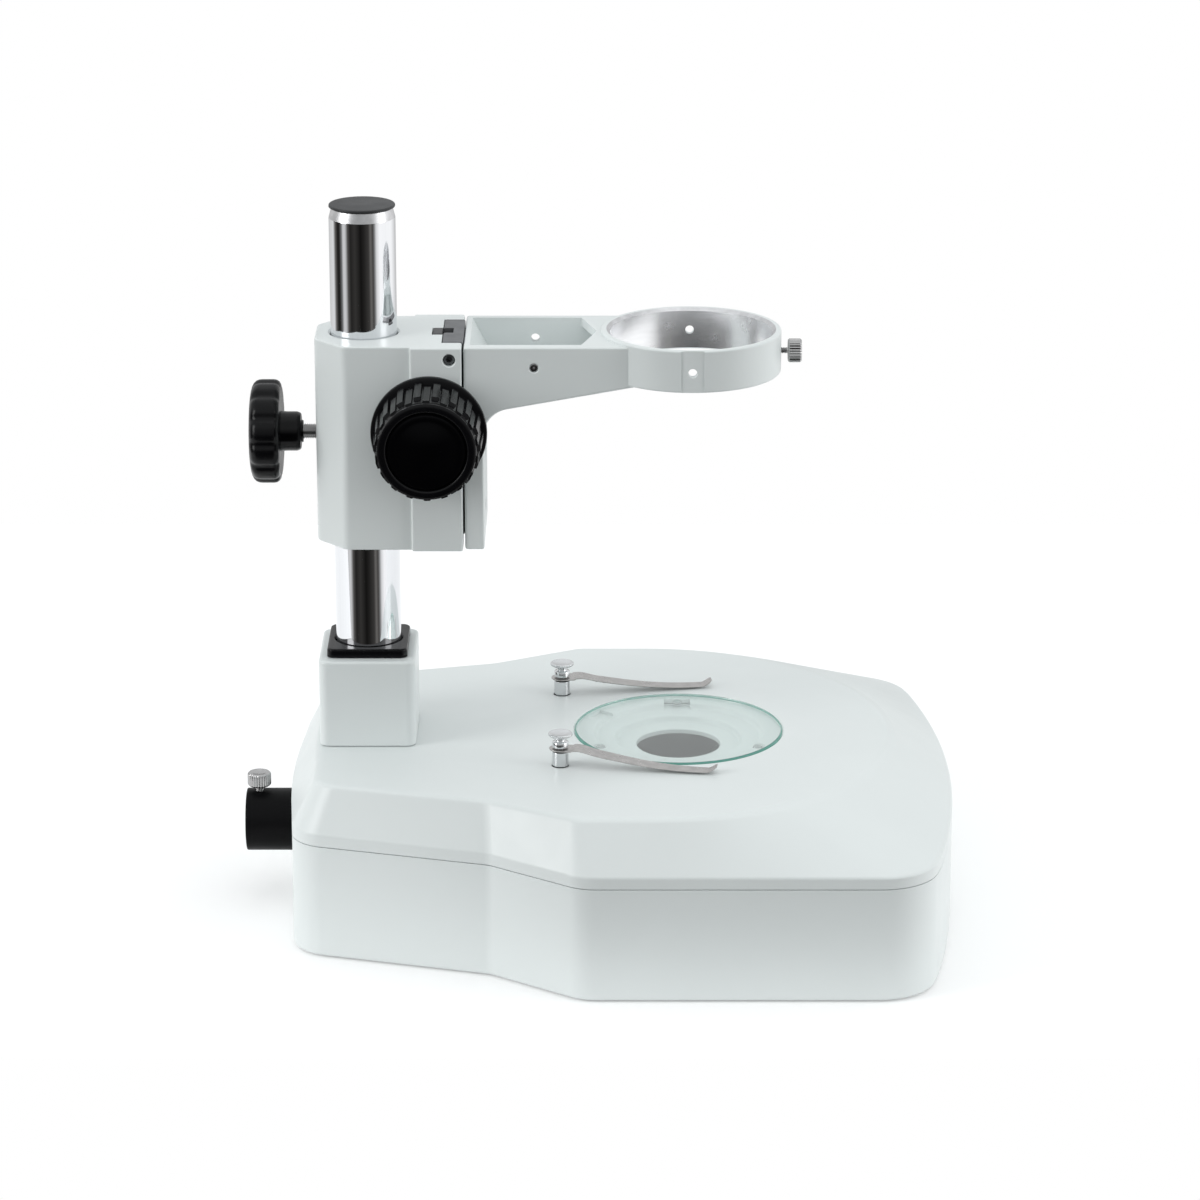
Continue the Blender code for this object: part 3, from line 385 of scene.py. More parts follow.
class Nodes:
    """A node tree under construction."""

    def __init__(self, tree):
        self.tree = tree

    def node(self, kind, **values):
        made = self.tree.nodes.new(kind)
        for key, value in values.items():
            if key in made.inputs:
                made.inputs[key].default_value = value
            else:
                setattr(made, key, value)
        return made

    def link(self, output, target):
        self.tree.links.new(output, target)

    def ranged(self, source, low_value, high_value, from_low=0.3, from_high=0.7):
        spread = self.node("ShaderNodeMapRange")
        spread.inputs["From Min"].default_value = from_low
        spread.inputs["From Max"].default_value = from_high
        spread.inputs["To Min"].default_value = low_value
        spread.inputs["To Max"].default_value = high_value
        self.link(source, spread.inputs["Value"])
        return spread.outputs["Result"]

    def mixed(self, factor, first, second):
        mix = self.node("ShaderNodeMix", data_type="RGBA")
        self.link(factor, mix.inputs["Factor"])
        for socket, value in ((mix.inputs[6], first), (mix.inputs[7], second)):
            if isinstance(value, tuple):
                socket.default_value = (*value, 1.0)
            else:
                self.link(value, socket)
        return mix.outputs[2]

    def choice(self, factor, first, second):
        """A mix of two shaders."""
        mix = self.node("ShaderNodeMixShader")
        self.link(factor, mix.inputs["Fac"])
        self.link(first, mix.inputs[1])
        self.link(second, mix.inputs[2])
        return mix.outputs[0]


class Look(Nodes):
    """A node material under construction: a Principled shader with helpers for what feeds it."""

    def __init__(self, name, colour, roughness, metallic=0.0, **fixed):
        self.material = bpy.data.materials.new(name)
        self.material.use_nodes = True
        super().__init__(self.material.node_tree)
        self.shader = self.tree.nodes["Principled BSDF"]
        self.colour, self.roughness = colour, roughness
        self.set("Base Color", (*colour, 1.0))
        self.set("Roughness", roughness)
        self.set("Metallic", metallic)
        for socket, value in fixed.items():
            self.set(socket.replace("_", " "), value)

    def set(self, socket, value):
        self.shader.inputs[socket].default_value = value

    def noise(self, scale, detail=3.0, stretch=(1, 1, 1)):
        place = self.node("ShaderNodeTexCoord").outputs["Object"]
        mapping = self.node("ShaderNodeMapping")
        mapping.inputs["Scale"].default_value = stretch
        self.link(place, mapping.inputs["Vector"])
        noise = self.node("ShaderNodeTexNoise", Scale=scale, Detail=detail)
        self.link(mapping.outputs["Vector"], noise.inputs["Vector"])
        return noise.outputs["Fac"]

    def vary_colour(self, source, amount):
        """Lightens and darkens the colour by a share of it."""
        dark = tuple(c * (1 - amount) for c in self.colour)
        light = tuple(min(1.0, c * (1 + amount)) for c in self.colour)
        self.link(self.mixed(source, dark, light), self.shader.inputs["Base Color"])

    def vary_roughness(self, source, spread):
        self.link(self.ranged(source, self.roughness - spread, self.roughness + spread),
                  self.shader.inputs["Roughness"])

    def bump(self, *layers):
        """Each layer is (height source, depth in millimetres)."""
        before = None
        for source, depth in layers:
            bump = self.node("ShaderNodeBump", Strength=1.0, Distance=depth * MM)
            self.link(source, bump.inputs["Height"])
            if before:
                self.link(before, bump.inputs["Normal"])
            before = bump.outputs["Normal"]
        self.link(before, self.shader.inputs["Normal"])


def enamel_look(name="enamel", colour=(0.69, 0.73, 0.725)):
    """Sprayed white enamel: a fine orange peel, faint mottling, and a painted highlight on its rounded edges.
    """
    look = Look(name, colour, 0.36, Specular_IOR_Level=0.45)
    mottle = look.noise(14, 4)
    edge = look.node("ShaderNodeNewGeometry").outputs["Pointiness"]
    dark, light = tuple(c * 0.985 for c in colour), tuple(c * 1.01 for c in colour)
    base = look.mixed(look.ranged(mottle, 0, 1), dark, light)
    # Painted highlight: rounded edges, found by pointiness, lighten towards (0.80, 0.83, 0.83) as if they
    # caught the light.
    edge_highlight_and_wear = look.ranged(edge, 0.0, 0.35, 0.53, 0.60)
    look.link(look.mixed(edge_highlight_and_wear, base, (0.80, 0.83, 0.83)), look.shader.inputs["Base Color"])
    look.vary_roughness(look.noise(60, 3), 0.05)
    look.bump((look.noise(420, 2), 0.025), (look.noise(2600, 2), 0.006))
    return look.material


def chrome_look():
    """Polished chrome with fine lengthwise draw marks and a faint haze of fingerprints."""
    look = Look("chrome", (0.78, 0.79, 0.81), 0.05, 1.0)
    look.vary_roughness(look.noise(35, 5), 0.02)
    look.vary_colour(look.ranged(look.noise(900, 2, (1, 1, 0.01)), 0, 1), 0.02)
    look.bump((look.noise(260, 2, (1, 1, 0.01)), 0.0012))
    return look.material


def nickel_look(name, colour, roughness):
    """Nickel plate with brushing along X and small stains."""
    look = Look(name, colour, roughness, 1.0)
    look.vary_roughness(look.noise(90, 4), 0.05)
    look.vary_colour(look.ranged(look.noise(160, 5), 0, 1), 0.05)
    look.bump((look.noise(3000, 2, (0.03, 1, 1)), 0.003), (look.noise(500, 3), 0.0015))
    return look.material


def turned_metal_look(name, colour, roughness, pitch, metallic=1.0):
    """Metal with the fine grooves that a lathe tool leaves, a groove every pitch millimetres in height."""
    look = Look(name, colour, roughness, metallic)
    wave = look.node("ShaderNodeTexWave", Scale=1.0 / (pitch * MM * 20 * 0.314), Distortion=0.1, Detail=1.0)
    wave.bands_direction = "Z"
    look.link(look.node("ShaderNodeTexCoord").outputs["Object"], wave.inputs["Vector"])
    look.vary_roughness(look.noise(120, 4), 0.03)
    look.vary_colour(look.ranged(look.noise(70, 4, (1, 1, 8)), 0, 1), 0.03)
    look.bump((wave.outputs["Fac"], 0.002), (look.noise(1500, 2, (0.05, 0.05, 1)), 0.0006))
    return look.material


def steel_look(name, colour, roughness, metallic=1.0):
    """Ground and treated steel: directional grain, mottled finish."""
    look = Look(name, colour, roughness, metallic)
    look.vary_roughness(look.noise(80, 4), 0.08)
    look.vary_colour(look.ranged(look.noise(220, 5), 0, 1), 0.12)
    look.bump((look.noise(1800, 2, (0.1, 1, 1)), 0.005), (look.noise(400, 3), 0.006))
    return look.material


def plastic_look(name, colour, roughness, grain, depth, gloss):
    """Moulded black plastic: an even fine grain and a little wear on its edges."""
    look = Look(name, colour, roughness, Specular_IOR_Level=gloss)
    edge = look.node("ShaderNodeNewGeometry").outputs["Pointiness"]
    edge_highlight_and_wear = look.ranged(edge, 0.0, 0.6, 0.54, 0.66)
    rubbed = tuple(c * 2 + 0.004 for c in colour)
    look.link(look.mixed(edge_highlight_and_wear, colour, rubbed), look.shader.inputs["Base Color"])
    look.vary_roughness(look.noise(70, 4), 0.06)
    look.bump((look.noise(grain, 2), depth))
    return look.material


def glass_look(name, colour, roughness, clear):
    """Float glass with faint smears, which lets lamplight through to what lies under it."""
    look = Look(name, colour, roughness, Transmission_Weight=clear, IOR=1.5)
    look.vary_roughness(look.noise(28, 5), 0.015)
    look.vary_colour(look.ranged(look.noise(40, 3), 0, 1), 0.01)
    look.bump((look.noise(60, 2), 0.001))
    path = look.node("ShaderNodeLightPath")
    lighting = look.node("ShaderNodeMath", operation="MAXIMUM")
    look.link(path.outputs["Is Shadow Ray"], lighting.inputs[0])
    look.link(path.outputs["Is Diffuse Ray"], lighting.inputs[1])
    open_glass = look.node("ShaderNodeBsdfTransparent").outputs["BSDF"]
    surface = look.choice(lighting.outputs[0], look.shader.outputs["BSDF"], open_glass)
    look.link(surface, look.tree.nodes["Material Output"].inputs["Surface"])
    return look.material


LOOKS = {
    "enamel": enamel_look(),
    "insert": enamel_look("insert_enamel", (0.66, 0.70, 0.69)),
    "chrome": chrome_look(),
    "nickel": nickel_look("nickel", (0.45, 0.445, 0.445), 0.22),
    "bright": nickel_look("bright_nickel", (0.70, 0.71, 0.72), 0.13),
    "bore": turned_metal_look("machined_aluminium", (0.93, 0.935, 0.95), 0.25, 0.5, 0.82),
    "zinc": steel_look("zinc_steel", (0.56, 0.56, 0.57), 0.36),
    "steel": steel_look("dark_steel", (0.14, 0.144, 0.152), 0.45, 0.4),
    "blackened": steel_look("blackened_steel", (0.03, 0.031, 0.034), 0.42, 0.3),
    # Darker satin metal: a satin finish on the pole's top chamfer, and painted shade on the arm's bore
    # chamfer.
    "satin_and_painted_shade": steel_look("satin_chrome_and_painted_shade", (0.62, 0.62, 0.63), 0.34),
    "strap": steel_look("spring_steel", (0.47, 0.455, 0.445), 0.30),
    "black": plastic_look("black_plastic", (0.003, 0.003, 0.0036), 0.23, 1500, 0.004, 0.16),
    "tube": plastic_look("matt_black", (0.003, 0.003, 0.0034), 0.40, 2200, 0.008, 0.08),
    "gloss": plastic_look("gloss_black", (0.0012, 0.0012, 0.0015), 0.16, 300, 0.0010, 0.06),
    "cap": plastic_look("cap_plastic", (0.03, 0.031, 0.033), 0.45, 1500, 0.006, 0.3),
    "rubber": plastic_look("black_rubber", (0.03, 0.03, 0.03), 0.8, 1200, 0.03, 0.3),
    "brass": turned_metal_look("brass", (0.66, 0.48, 0.20), 0.34, 0.4),
    "glass": glass_look("stage_glass", (0.90, 0.975, 0.96), 0.02, 1.0),
    "glass_edge": glass_look("glass_edge", (0.16, 0.47, 0.39), 0.2, 0.45),
    "mirror": steel_look("mirror", (0.66, 0.69, 0.72), 0.10),
}


# ---- pieces

def raw_object(name, shape):
    points, faces = shape
    mesh = bpy.data.meshes.new(name)
    mesh.from_pydata([p * MM for p in points], [], faces)
    work = bmesh.new()
    work.from_mesh(mesh)
    bmesh.ops.recalc_face_normals(work, faces=work.faces)
    work.to_mesh(mesh)
    work.free()
    made = bpy.data.objects.new(name, mesh)
    bpy.context.scene.collection.objects.link(made)
    return made


def piece(name, shape, look, body, node, edge=0.0, sharp=32, adds=(), cuts=(), solver="EXACT"):
    """A finished piece that replaces a node: its shape with rounded edges, joined with adds, cut by cuts."""
    made = raw_object(name, shape)
    if edge:
        bevel = made.modifiers.new("edges", "BEVEL")
        bevel.width = edge * MM
        bevel.segments = EDGE_STEPS
        bevel.limit_method = "ANGLE"
        bevel.angle_limit = math.radians(sharp)
    helpers = []
    for operation, shapes in (("UNION", adds), ("DIFFERENCE", cuts)):
        for other in shapes:
            helper = raw_object(name + "_helper", other)
            step = made.modifiers.new(operation, "BOOLEAN")
            step.operation, step.solver, step.object = operation, solver, helper
            helpers.append(helper)
    if made.modifiers:
        bpy.context.view_layer.update()
        graph = bpy.context.evaluated_depsgraph_get()
        final = bpy.data.meshes.new_from_object(made.evaluated_get(graph))
        made.modifiers.clear()
        made.data = final
        for helper in helpers:
            bpy.data.objects.remove(helper, do_unlink=True)
    work = bmesh.new()
    work.from_mesh(made.data)
    bmesh.ops.remove_doubles(work, verts=work.verts, dist=2e-6)
    bmesh.ops.dissolve_degenerate(work, edges=work.edges, dist=1e-6)
    work.to_mesh(made.data)
    work.free()
    made.data.materials.clear()
    made.data.materials.append(LOOKS[look])
    made.data.shade_smooth()
    made.data.set_sharp_from_angle(angle=math.radians(sharp))
    made.modifiers.new("even shading", "WEIGHTED_NORMAL").keep_sharp = True
    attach(made, body)
    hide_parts(node)
    return made


def second_look(made, look, belongs):
    """Gives the faces for which belongs(centre, normal), in millimetres, another material."""
    made.data.materials.append(LOOKS[look])
    last = len(made.data.materials) - 1
    for face in made.data.polygons:
        if belongs(face.center / MM, face.normal):
            face.material_index = last


# ---- base

def make_base():
    wall, deck = wall_outline(), deck_outline()
    inner_wall = inset(wall, WALL)
    seam_z = low("top_cover").z
    ceiling = DECK_Z - DECK_THICKNESS
    run = SLOPE_RUN
    profile = fillet((0, SEAM_Z), (0, CHAMFER_Z), (run, DECK_Z), EDGE_R, 4)
    profile += fillet((0, CHAMFER_Z), (run, DECK_Z), (run * 2, DECK_Z), EDGE_R + 3, 8)
    profile.append((profile[-1][0] + 0.8, DECK_Z))
    rings = [at_height(inset(wall, 0.35), seam_z), at_height(inset(wall, 0.1), seam_z + 0.1),
             at_height(wall, seam_z + 0.35)]
    for inwards, z in profile:
        outline = between(wall, deck, min(1.0, inwards / run))
        if inwards > run:
            outline = inset(deck, inwards - run)
        rings.append(at_height(outline, z))
    rings = rings[::-1]
    rings += [at_height(inner_wall, seam_z), at_height(inner_wall, CHAMFER_Z - 1), at_height(deck, ceiling)]
    seat_z = GLASS_TOP_Z - 7.7
    seat = turned([(0, seat_z), (GLASS_R + 0.4, seat_z), (GLASS_R + 0.4, DECK_Z - 0.35),
                   (GLASS_R + 0.75, DECK_Z), (GLASS_R + 0.75, DECK_Z + 5), (0, DECK_Z + 5)], 192)
    holes = [moved(rod(4.15, 60, 90, 48), CLIP.x, side * CLIP.y) for side in (-1, 1)]
    piece("cover", stacked(rings), "enamel", "base", "top_cover", sharp=25,
          cuts=(moved(seat, STAGE_X), together(moved(rod(STAGE_HOLE_R, 55, DECK_Z), STAGE_X), *holes)))

    rings = [at_height(inset(wall, 2.2), BASE_BOTTOM_Z), at_height(inset(wall, 1.1), BASE_BOTTOM_Z + 0.25),
             at_height(inset(wall, 0.35), BASE_BOTTOM_Z + 0.9), at_height(wall, BASE_BOTTOM_Z + 2.2),
             at_height(wall, SEAM_Z - 0.35), at_height(inset(wall, 0.1), SEAM_Z - 0.1),
             at_height(inset(wall, 0.35), SEAM_Z), at_height(inner_wall, SEAM_Z),
             at_height(inner_wall, BASE_BOTTOM_Z)]
    tube_hole = aimed(turned([(0, -150), (16.2, -150), (16.2, BASE_REAR_X), (15.5, BASE_REAR_X + 0.7),
                              (15.5, -130), (0, -130)], 96), (1, 0, 0))
    piece("housing", stacked(rings, closed_loop=True), "enamel", "base", "lower_housing",
          sharp=25, cuts=(moved(tube_hole, 0, 0, GUIDE_Z),))


def make_feet():
    for end, x, y in (("front", 112.0, 112.0), ("rear", -116.0, 62.0)):
        for side, name in ((1, "right"), (-1, "left")):
            node = f"foot_{end}_{name}"
            profile = eased([(4.6, 1.7), (4.6, 0), (11, 0), (11, 2.7), (2.3, 2.7)], [0, 0.3, 0.6, 0.2, 0])
            piece(node + "_pad", moved(turned(profile + [(2.3, 1.7)], 64), x, side * y), "rubber", "base",
                  node)


def make_insert():
    """The white stepped ring under the glass, with a recess, a finger notch and its screws' seats."""
    top = high("stage_insert").z
    outer = high("stage_insert").x - STAGE_X
    steps = [(outer, top - 2.0), (outer, top), (40.3, top), (39.2, top - 2.8), (30.2, top - 3.0),
             (29.2, top - 5.8), (20.0, top - 6.2), (20.0, top - 8.5), (31.0, top - 8.5),
             (43.7, top - 5.0), (43.7, top - 2.0)]
    profile = eased(steps, [0, 0.4, 0.9, 0.9, 0.9, 0.9, 0.5, 0.2, 0.3, 0.3, 0], 5)
    recess = block((-6.4, 38.0, top - 2.9), (6.4, 45.5, top + 1))
    points, faces = prism([(-4.2, 35.5), (4.2, 35.5), (5.4, 47.5), (-5.4, 47.5)], top - 1.6, top + 1)
    turn = Matrix.Rotation(math.radians(58), 3, "Z")
    notch = [turn @ p for p in points], faces
    seats = []
    for at in (math.radians(210), math.radians(330)):
        seats.append(moved(rod(3.4, top - 0.9, top + 1, 48), 43.0 * math.cos(at), 43.0 * math.sin(at)))
    piece("insert", moved(turned(profile, 192), STAGE_X), "insert", "base", "stage_insert",
          sharp=25, cuts=[moved(cut, STAGE_X) for cut in (recess, notch, together(*seats))])


def make_glass():
    bottom, r, top = low("stage_glass").z, GLASS_R, GLASS_TOP_Z
    profile = [(0, bottom), (r - 0.6, bottom), (r, bottom + 0.6), (r, top - 0.7), (r - 0.7, top), (0, top)]
    made = piece("glass", moved(turned(eased(profile, 0.12, 2), 192), STAGE_X), "glass", "stage_glass",
                 "stage_glass")
    second_look(made, "glass_edge", lambda at, normal: abs(normal.z) < 0.95)


def make_socket():
    bottom, top = low("pillar_socket").z, high("pillar_socket").z
    width, depth = 45.5, 51.0
    outline = rounded_box(width, depth, 4.5, POLE_X)
    rings = [at_height(inset(outline, 0.3), bottom), at_height(outline, bottom + 0.3)]
    for k in range(7):
        turn = math.pi / 2 * k / 6
        rings.append(at_height(inset(outline, 1.3 * (1 - math.cos(turn))), top - 1.3 + 1.3 * math.sin(turn)))
    rings.append(at_height(inset(outline, 2.0), top))
    bore = moved(rod(15.9, low("pole").z - 0.3, top + 5), POLE_X)
    piece("socket", stacked(rings), "enamel", "base", "pillar_socket", sharp=25,
          cuts=(bore, moved(rod(4.4, bottom - 5, low("pole").z, 48), POLE_X)))
    bottom, top = low("socket_collar").z, high("socket_collar").z
    outline = rounded_box(38.0, 40.0, 3.6, POLE_X)
    rings = [at_height(outline, bottom)]
    rings += [at_height(inset(outline, inwards), top - down)
              for inwards, down in ((0, 1.1), (0.25, 0.45), (0.8, 0.1), (1.4, 0), (2.0, 0))]
    throat = turned([(0, bottom - 3), (15.75, bottom - 3), (15.75, top - 0.9), (16.5, top), (16.5, top + 3),
                     (0, top + 3)])
    piece("collar", stacked(rings), "black", "base", "socket_collar", sharp=25,
          cuts=(moved(throat, POLE_X),))


def make_light_guide():
    rear, front = low("light_guide_tube").x, high("light_guide_tube").x
    length = front - rear
    profile = eased([(13.0, 0), (15.0, 0), (15.0, length), (12.5, length), (12.5, 1.4), (13.0, 0)],
                    [0, 0.7, 0.3, 0.3, 0.3, 0], 4)[:-1]
    shape = laid(turned(profile, 96), X_AXIS, rear, 0, GUIDE_Z)
    piece("guide_tube", shape, "tube", "base", "light_guide_tube",
          cuts=(moved(rod(2.3, GUIDE_Z + 5, GUIDE_Z + 20, 32), GUIDE_SCREW_X),))


def thumb_profile(radius, height):
    """The outside of a knurled screw head, with chamfers and a shallow dish in its end."""
    return [(0, 0), (radius * 0.5, 0), (radius * 0.87, 0), (radius * 0.9, 0.12), (radius * 0.99, 0.65),
            (radius, 0.8), (radius, height * 0.5), (radius, height - 0.8), (radius * 0.99, height - 0.65),
            (radius * 0.9, height - 0.12), (radius * 0.87, height), (radius * 0.66, height),
            (radius * 0.6, height - 0.25), (radius * 0.1, height - 0.4), (0, height - 0.4)]


def make_thumbscrew(name, body, turns, origin, axis, radius, height, pin_r, pin_length):
    head = knurled(thumb_profile(radius, height), 26, 0.42, 0.6, height - 0.6)
    head = laid(head, axis, *origin)
    piece(name + "_knurled", head, "nickel", turns, name + "_head", sharp=40)
    shank = laid(threaded(pin_r, 0.7, -pin_length, -0.25), axis, *origin)
    piece(name + "_thread", shank, "nickel", body, name + "_pin", sharp=50)


# ---- stage clips

CLIP_LENGTH = 74.0
CLIP_SPLAY = math.radians(8.5)


def clip_height(along):
    """Height of the strap's underside over the deck, along its length from the post."""
    root = 8.2
    if along < 5.5:
        return root
    rise = 0.9 * math.exp(-(((along - 10) / 5.0) ** 2))
    fall = 0.5 - 0.5 * math.cos(math.pi * min(1.0, (along - 5.5) / (CLIP_LENGTH - 14)) ** 0.72)
    lift = 2.6 * max(0.0, (along - CLIP_LENGTH + 4.5) / 4.5) ** 1.4
    return root - (root - 1.0) * fall + rise * (1 - fall) + lift


def clip_half_width(along):
    if along < 0:
        return max(0.35, math.sqrt(max(0.0, 5.2**2 - along**2)))
    if along < 12:
        return 5.2 - 0.35 * along / 12
    end = max(0.0, (along - CLIP_LENGTH + 1.5) / 1.5)
    return 4.85 - 1.6 * (along - 12) / (CLIP_LENGTH - 12) - 1.2 * end**2


def make_clip(side, name):
    places = [-5.2 * math.cos(math.pi / 2 * k / 14) for k in range(14)]
    places += [k * 0.9 for k in range(82) if k * 0.9 < CLIP_LENGTH - 4.6]
    places += [CLIP_LENGTH - 4.5 + 4.5 * k / 14 for k in range(15)]
    thick, soft = 0.5, 0.14
    rings = []
    for along in places:
        half, z = clip_half_width(along), DECK_Z + clip_height(along)
        ring = []
        for off, up in ((-half + soft, 0), (half - soft, 0), (half, soft), (half, thick - soft),
                        (half - soft, thick), (-half + soft, thick), (-half, thick - soft), (-half, soft)):
            turn = CLIP_SPLAY * side
            ring.append((CLIP.x + along * math.cos(turn) - off * math.sin(turn),
                         side * CLIP.y + along * math.sin(turn) + off * math.cos(turn), z + up))
        rings.append(ring)
    hole = moved(rod(1.85, DECK_Z + 3, DECK_Z + 16, 48), CLIP.x, side * CLIP.y)
    piece(f"clip_{name}", stacked(rings), "strap", f"stage_clip_{name}", f"stage_clip_{name}",
          sharp=40, cuts=(hole,))


def make_clip_stand(side, name):
    x, y = CLIP.x, side * CLIP.y
    bottom = DECK_Z + 0.3
    post = eased([(0, bottom - 8), (2.0, bottom - 8), (2.0, bottom), (3.85, bottom), (3.85, bottom + 6.9),
                  (1.5, bottom + 6.9), (1.5, bottom + 14), (0, bottom + 14)],
                 [0, 0.1, 0, 0.25, 0.3, 0.1, 0.3, 0])
    piece(f"post_{name}", moved(turned(post, 96), x, y), "bright", "base", f"clip_post_{name}")
    washer_z = low(f"clip_washer_{name}").z
    washer = eased([(1.8, washer_z), (3.8, washer_z), (3.8, washer_z + 0.6), (1.8, washer_z + 0.6)], 0.15)
    piece(f"washer_{name}", moved(turned(washer, 64), x, y), "black", "base", f"clip_washer_{name}")
    z = low(f"clip_knob_{name}").z
    cone = [(0, z), (1.8, z), (3.6, z), (3.75, z + 0.15), (3.75, z + 2.5), (3.6, z + 2.7), (2.5, z + 3.0),
            (2.25, z + 3.3), (2.25, z + 3.9)]
    for k in range(9):
        cone.append((2.4 + 3.2 * k / 8, z + 4.05 + 1.75 * (k / 8) ** 1.15))
    cone += [(5.7, z + 6.0), (5.7, z + 6.45), (5.6, z + 6.65), (5.3, z + 6.9), (4.9, z + 6.95),
             (4.4, z + 6.8), (2.5, z + 6.55), (0.4, z + 6.5), (0, z + 6.5)]
    head = knurled(cone, 30, 0.28, z + 4.4, z + 6.5)
    piece(f"clip_nut_{name}", moved(head, x, y), "bright", f"clip_knob_{name}", f"clip_knob_{name}",
          sharp=40, cuts=(moved(rod(1.65, z - 1, z + 4.2, 32), x, y),))


# ---- pole

def make_pole():
    foot, top, r = low("pole").z, POLE_TOP_Z, POLE_R
    lead = top - 4.6
    profile = [(0, foot), (r - 0.5, foot), (r, foot + 0.5), (r, foot + 60), (r, top - 60), (r, lead - 0.3),
               (r - 0.04, lead), (r - 1.2, top - 0.2), (r - 1.5, top), (11.5, top), (11.5, top - 14),
               (0, top - 14)]
    made = piece("chromed_pole", moved(turned(profile, 256), POLE_X), "chrome", "pillar", "pole",
                 sharp=12)
    second_look(made, "satin_and_painted_shade", lambda at, normal: at.z > lead and 0.05 < abs(normal.z) and normal.z < 0.9)
    bottom = top + 0.3
    cap_top = high("pole_cap").z
    cap = eased([(0, top - 10), (11.2, top - 10), (11.2, bottom), (15.4, bottom), (15.4, cap_top - 0.25),
                 (12.0, cap_top), (0, cap_top)], [0, 0.5, 0.2, 0.3, 0.7, 3.0, 0], 5)
    piece("end_cap", moved(turned(cap, 160), POLE_X), "cap", "pillar", "pole_cap")


# ---- focus mount

def make_mount():
    rear, front, step = MOUNT_LOW.x, MOUNT_HIGH.x, -86.4
    bottom, top = MOUNT_LOW.z, MOUNT_HIGH.z
    half, front_half = 29.0, MOUNT_HIGH.y
    right = [(front, front_half), (step, front_half), (step, half), (rear + 14, half), (rear, 13)]
    radii = [1.0, 0.9, 0.6, 5.0, 7.0]
    corners = right + [(x, -y) for x, y in right[::-1]]
    outline = rounded(corners, radii + radii[::-1], 6)
    rings = [at_height(inset(outline, d), z) for d, z in
             ((0.8, bottom), (0.4, bottom + 0.15), (0.1, bottom + 0.5), (0, bottom + 1.0),
              (0, top - 1.0), (0.1, top - 0.5), (0.4, top - 0.15), (0.8, top))]
    bore_r = POLE_R + 0.45
    bore = turned([(0, bottom - 5), (bore_r + 1, bottom - 5), (bore_r + 1, bottom), (bore_r, bottom + 1),
                   (bore_r, top - 0.9), (bore_r + 0.9, top), (bore_r + 0.9, top + 5), (0, top + 5)], 192)
    rail_slot = block((-72.1, -21.4, bottom - 5), (front + 8, 21.4, top + 5))
    stop_slot = block((-77.1, -6.3, bottom - 5), (-70, 6.3, top + 5))
    shaft_bore = laid(rod(5.5, -40, 40, 64), Y_AXIS, SHAFT.x, 0, SHAFT.z)
    pinion_pocket = laid(rod(7.6, -5.5, 5.5, 64), Y_AXIS, SHAFT.x, 0, SHAFT.z)
    stud_bore = [(0, 118), (3.9, 118), (3.9, -rear - 0.5), (4.4, -rear), (4.4, 140), (0, 140)]
    stud_bore = laid(turned(stud_bore, 48), (-1, 0, 0), z=CLAMP_Z)
    gib = (low("gib_screw") + high("gib_screw")) / 2
    gib_hole = [(0, 20), (2.9, 20), (2.9, front_half - 0.4), (3.3, front_half), (3.3, 40), (0, 40)]
    gib_hole = laid(turned(gib_hole, 48), (0, -1, 0), gib.x, 0, gib.z)
    piece("mount", stacked(rings), "enamel", "focus_mount", "focus_body", sharp=24,
          solver="MANIFOLD", cuts=(moved(bore, POLE_X), rail_slot, stop_slot, pinion_pocket, shaft_bore,
                                   stud_bore, gib_hole))
    return gib


def hex_socket(width, bottom, top):
    return rod(width / math.sqrt(3), bottom, top, 6)


def make_set_screw(name, node, body, look, radius, length, at, axis, socket_share=1.05):
    """A headless screw seen from its socket end, which at marks."""
    profile = [(0, -length), (radius, -length), (radius, 0), (radius * 0.5, 0), (0, 0)]
    shape = laid(turned(eased(profile, [0, 0.2, 0.4, 0, 0]), 48), axis, *at)
    socket = laid(hex_socket(radius * socket_share, -length * 0.6, 2), axis, *at)
    piece(name, shape, look, body, node, cuts=(socket,))


def make_clamp():
    wheel_r, flutes = 24.3, 12
    profile = [(0.30, -159.6), (0.42, -159.7), (0.50, -160.1), (0.56, -161.6), (0.62, -162.2), (0.74, -162.4),
               (0.86, -161.9), (0.93, -161.0), (0.975, -159.8), (0.995, -158.4), (1.0, -157.0), (1.0, -154.5),
               (1.0, -151.6), (0.99, -150.3), (0.96, -149.2), (0.91, -148.5), (0.84, -148.2), (0.55, -148.2)]

    def fluted(share, turn, _):
        flute = (0.5 + 0.5 * math.cos(flutes * turn)) ** 3 * min(1.0, max(0.0, (share - 0.72) / 0.2))
        return wheel_r * share * (1 - 0.05 * flute)

    wheel = laid(stacked(rings_about(profile, flutes * 14, fluted)), X_AXIS, z=CLAMP_Z)
    hub = turned(eased([(0, -155), (10.2, -155), (9.25, -146), (9.25, -140.6), (8.4, -139), (5.2, -139),
                        (5.2, -138), (0, -138)], [0, 0, 1, 1.2, 0.5, 0.2, 0.2, 0]), 96)
    piece("clamp_wheel", wheel, "black", "clamp_turn", "clamp_knob", sharp=40,
          adds=(laid(hub, X_AXIS, z=CLAMP_Z),), cuts=(laid(rod(3.8, -151, -130, 48), X_AXIS, z=CLAMP_Z),))
    stud = threaded(3.6, 1.0, low("clamp_stud").x, high("clamp_stud").x, 48)
    piece("clamp_thread", laid(stud, X_AXIS, z=CLAMP_Z), "nickel", "clamp_feed", "clamp_stud",
          sharp=50)


# ---- focus knobs

def smooth_step(value, start, end):
    share = min(1.0, max(0.0, (value - start) / (end - start)))
    return share * share * (3 - 2 * share)


GRIPS = 36
GRIPS_START, GRIPS_END = 39.6, 66.5


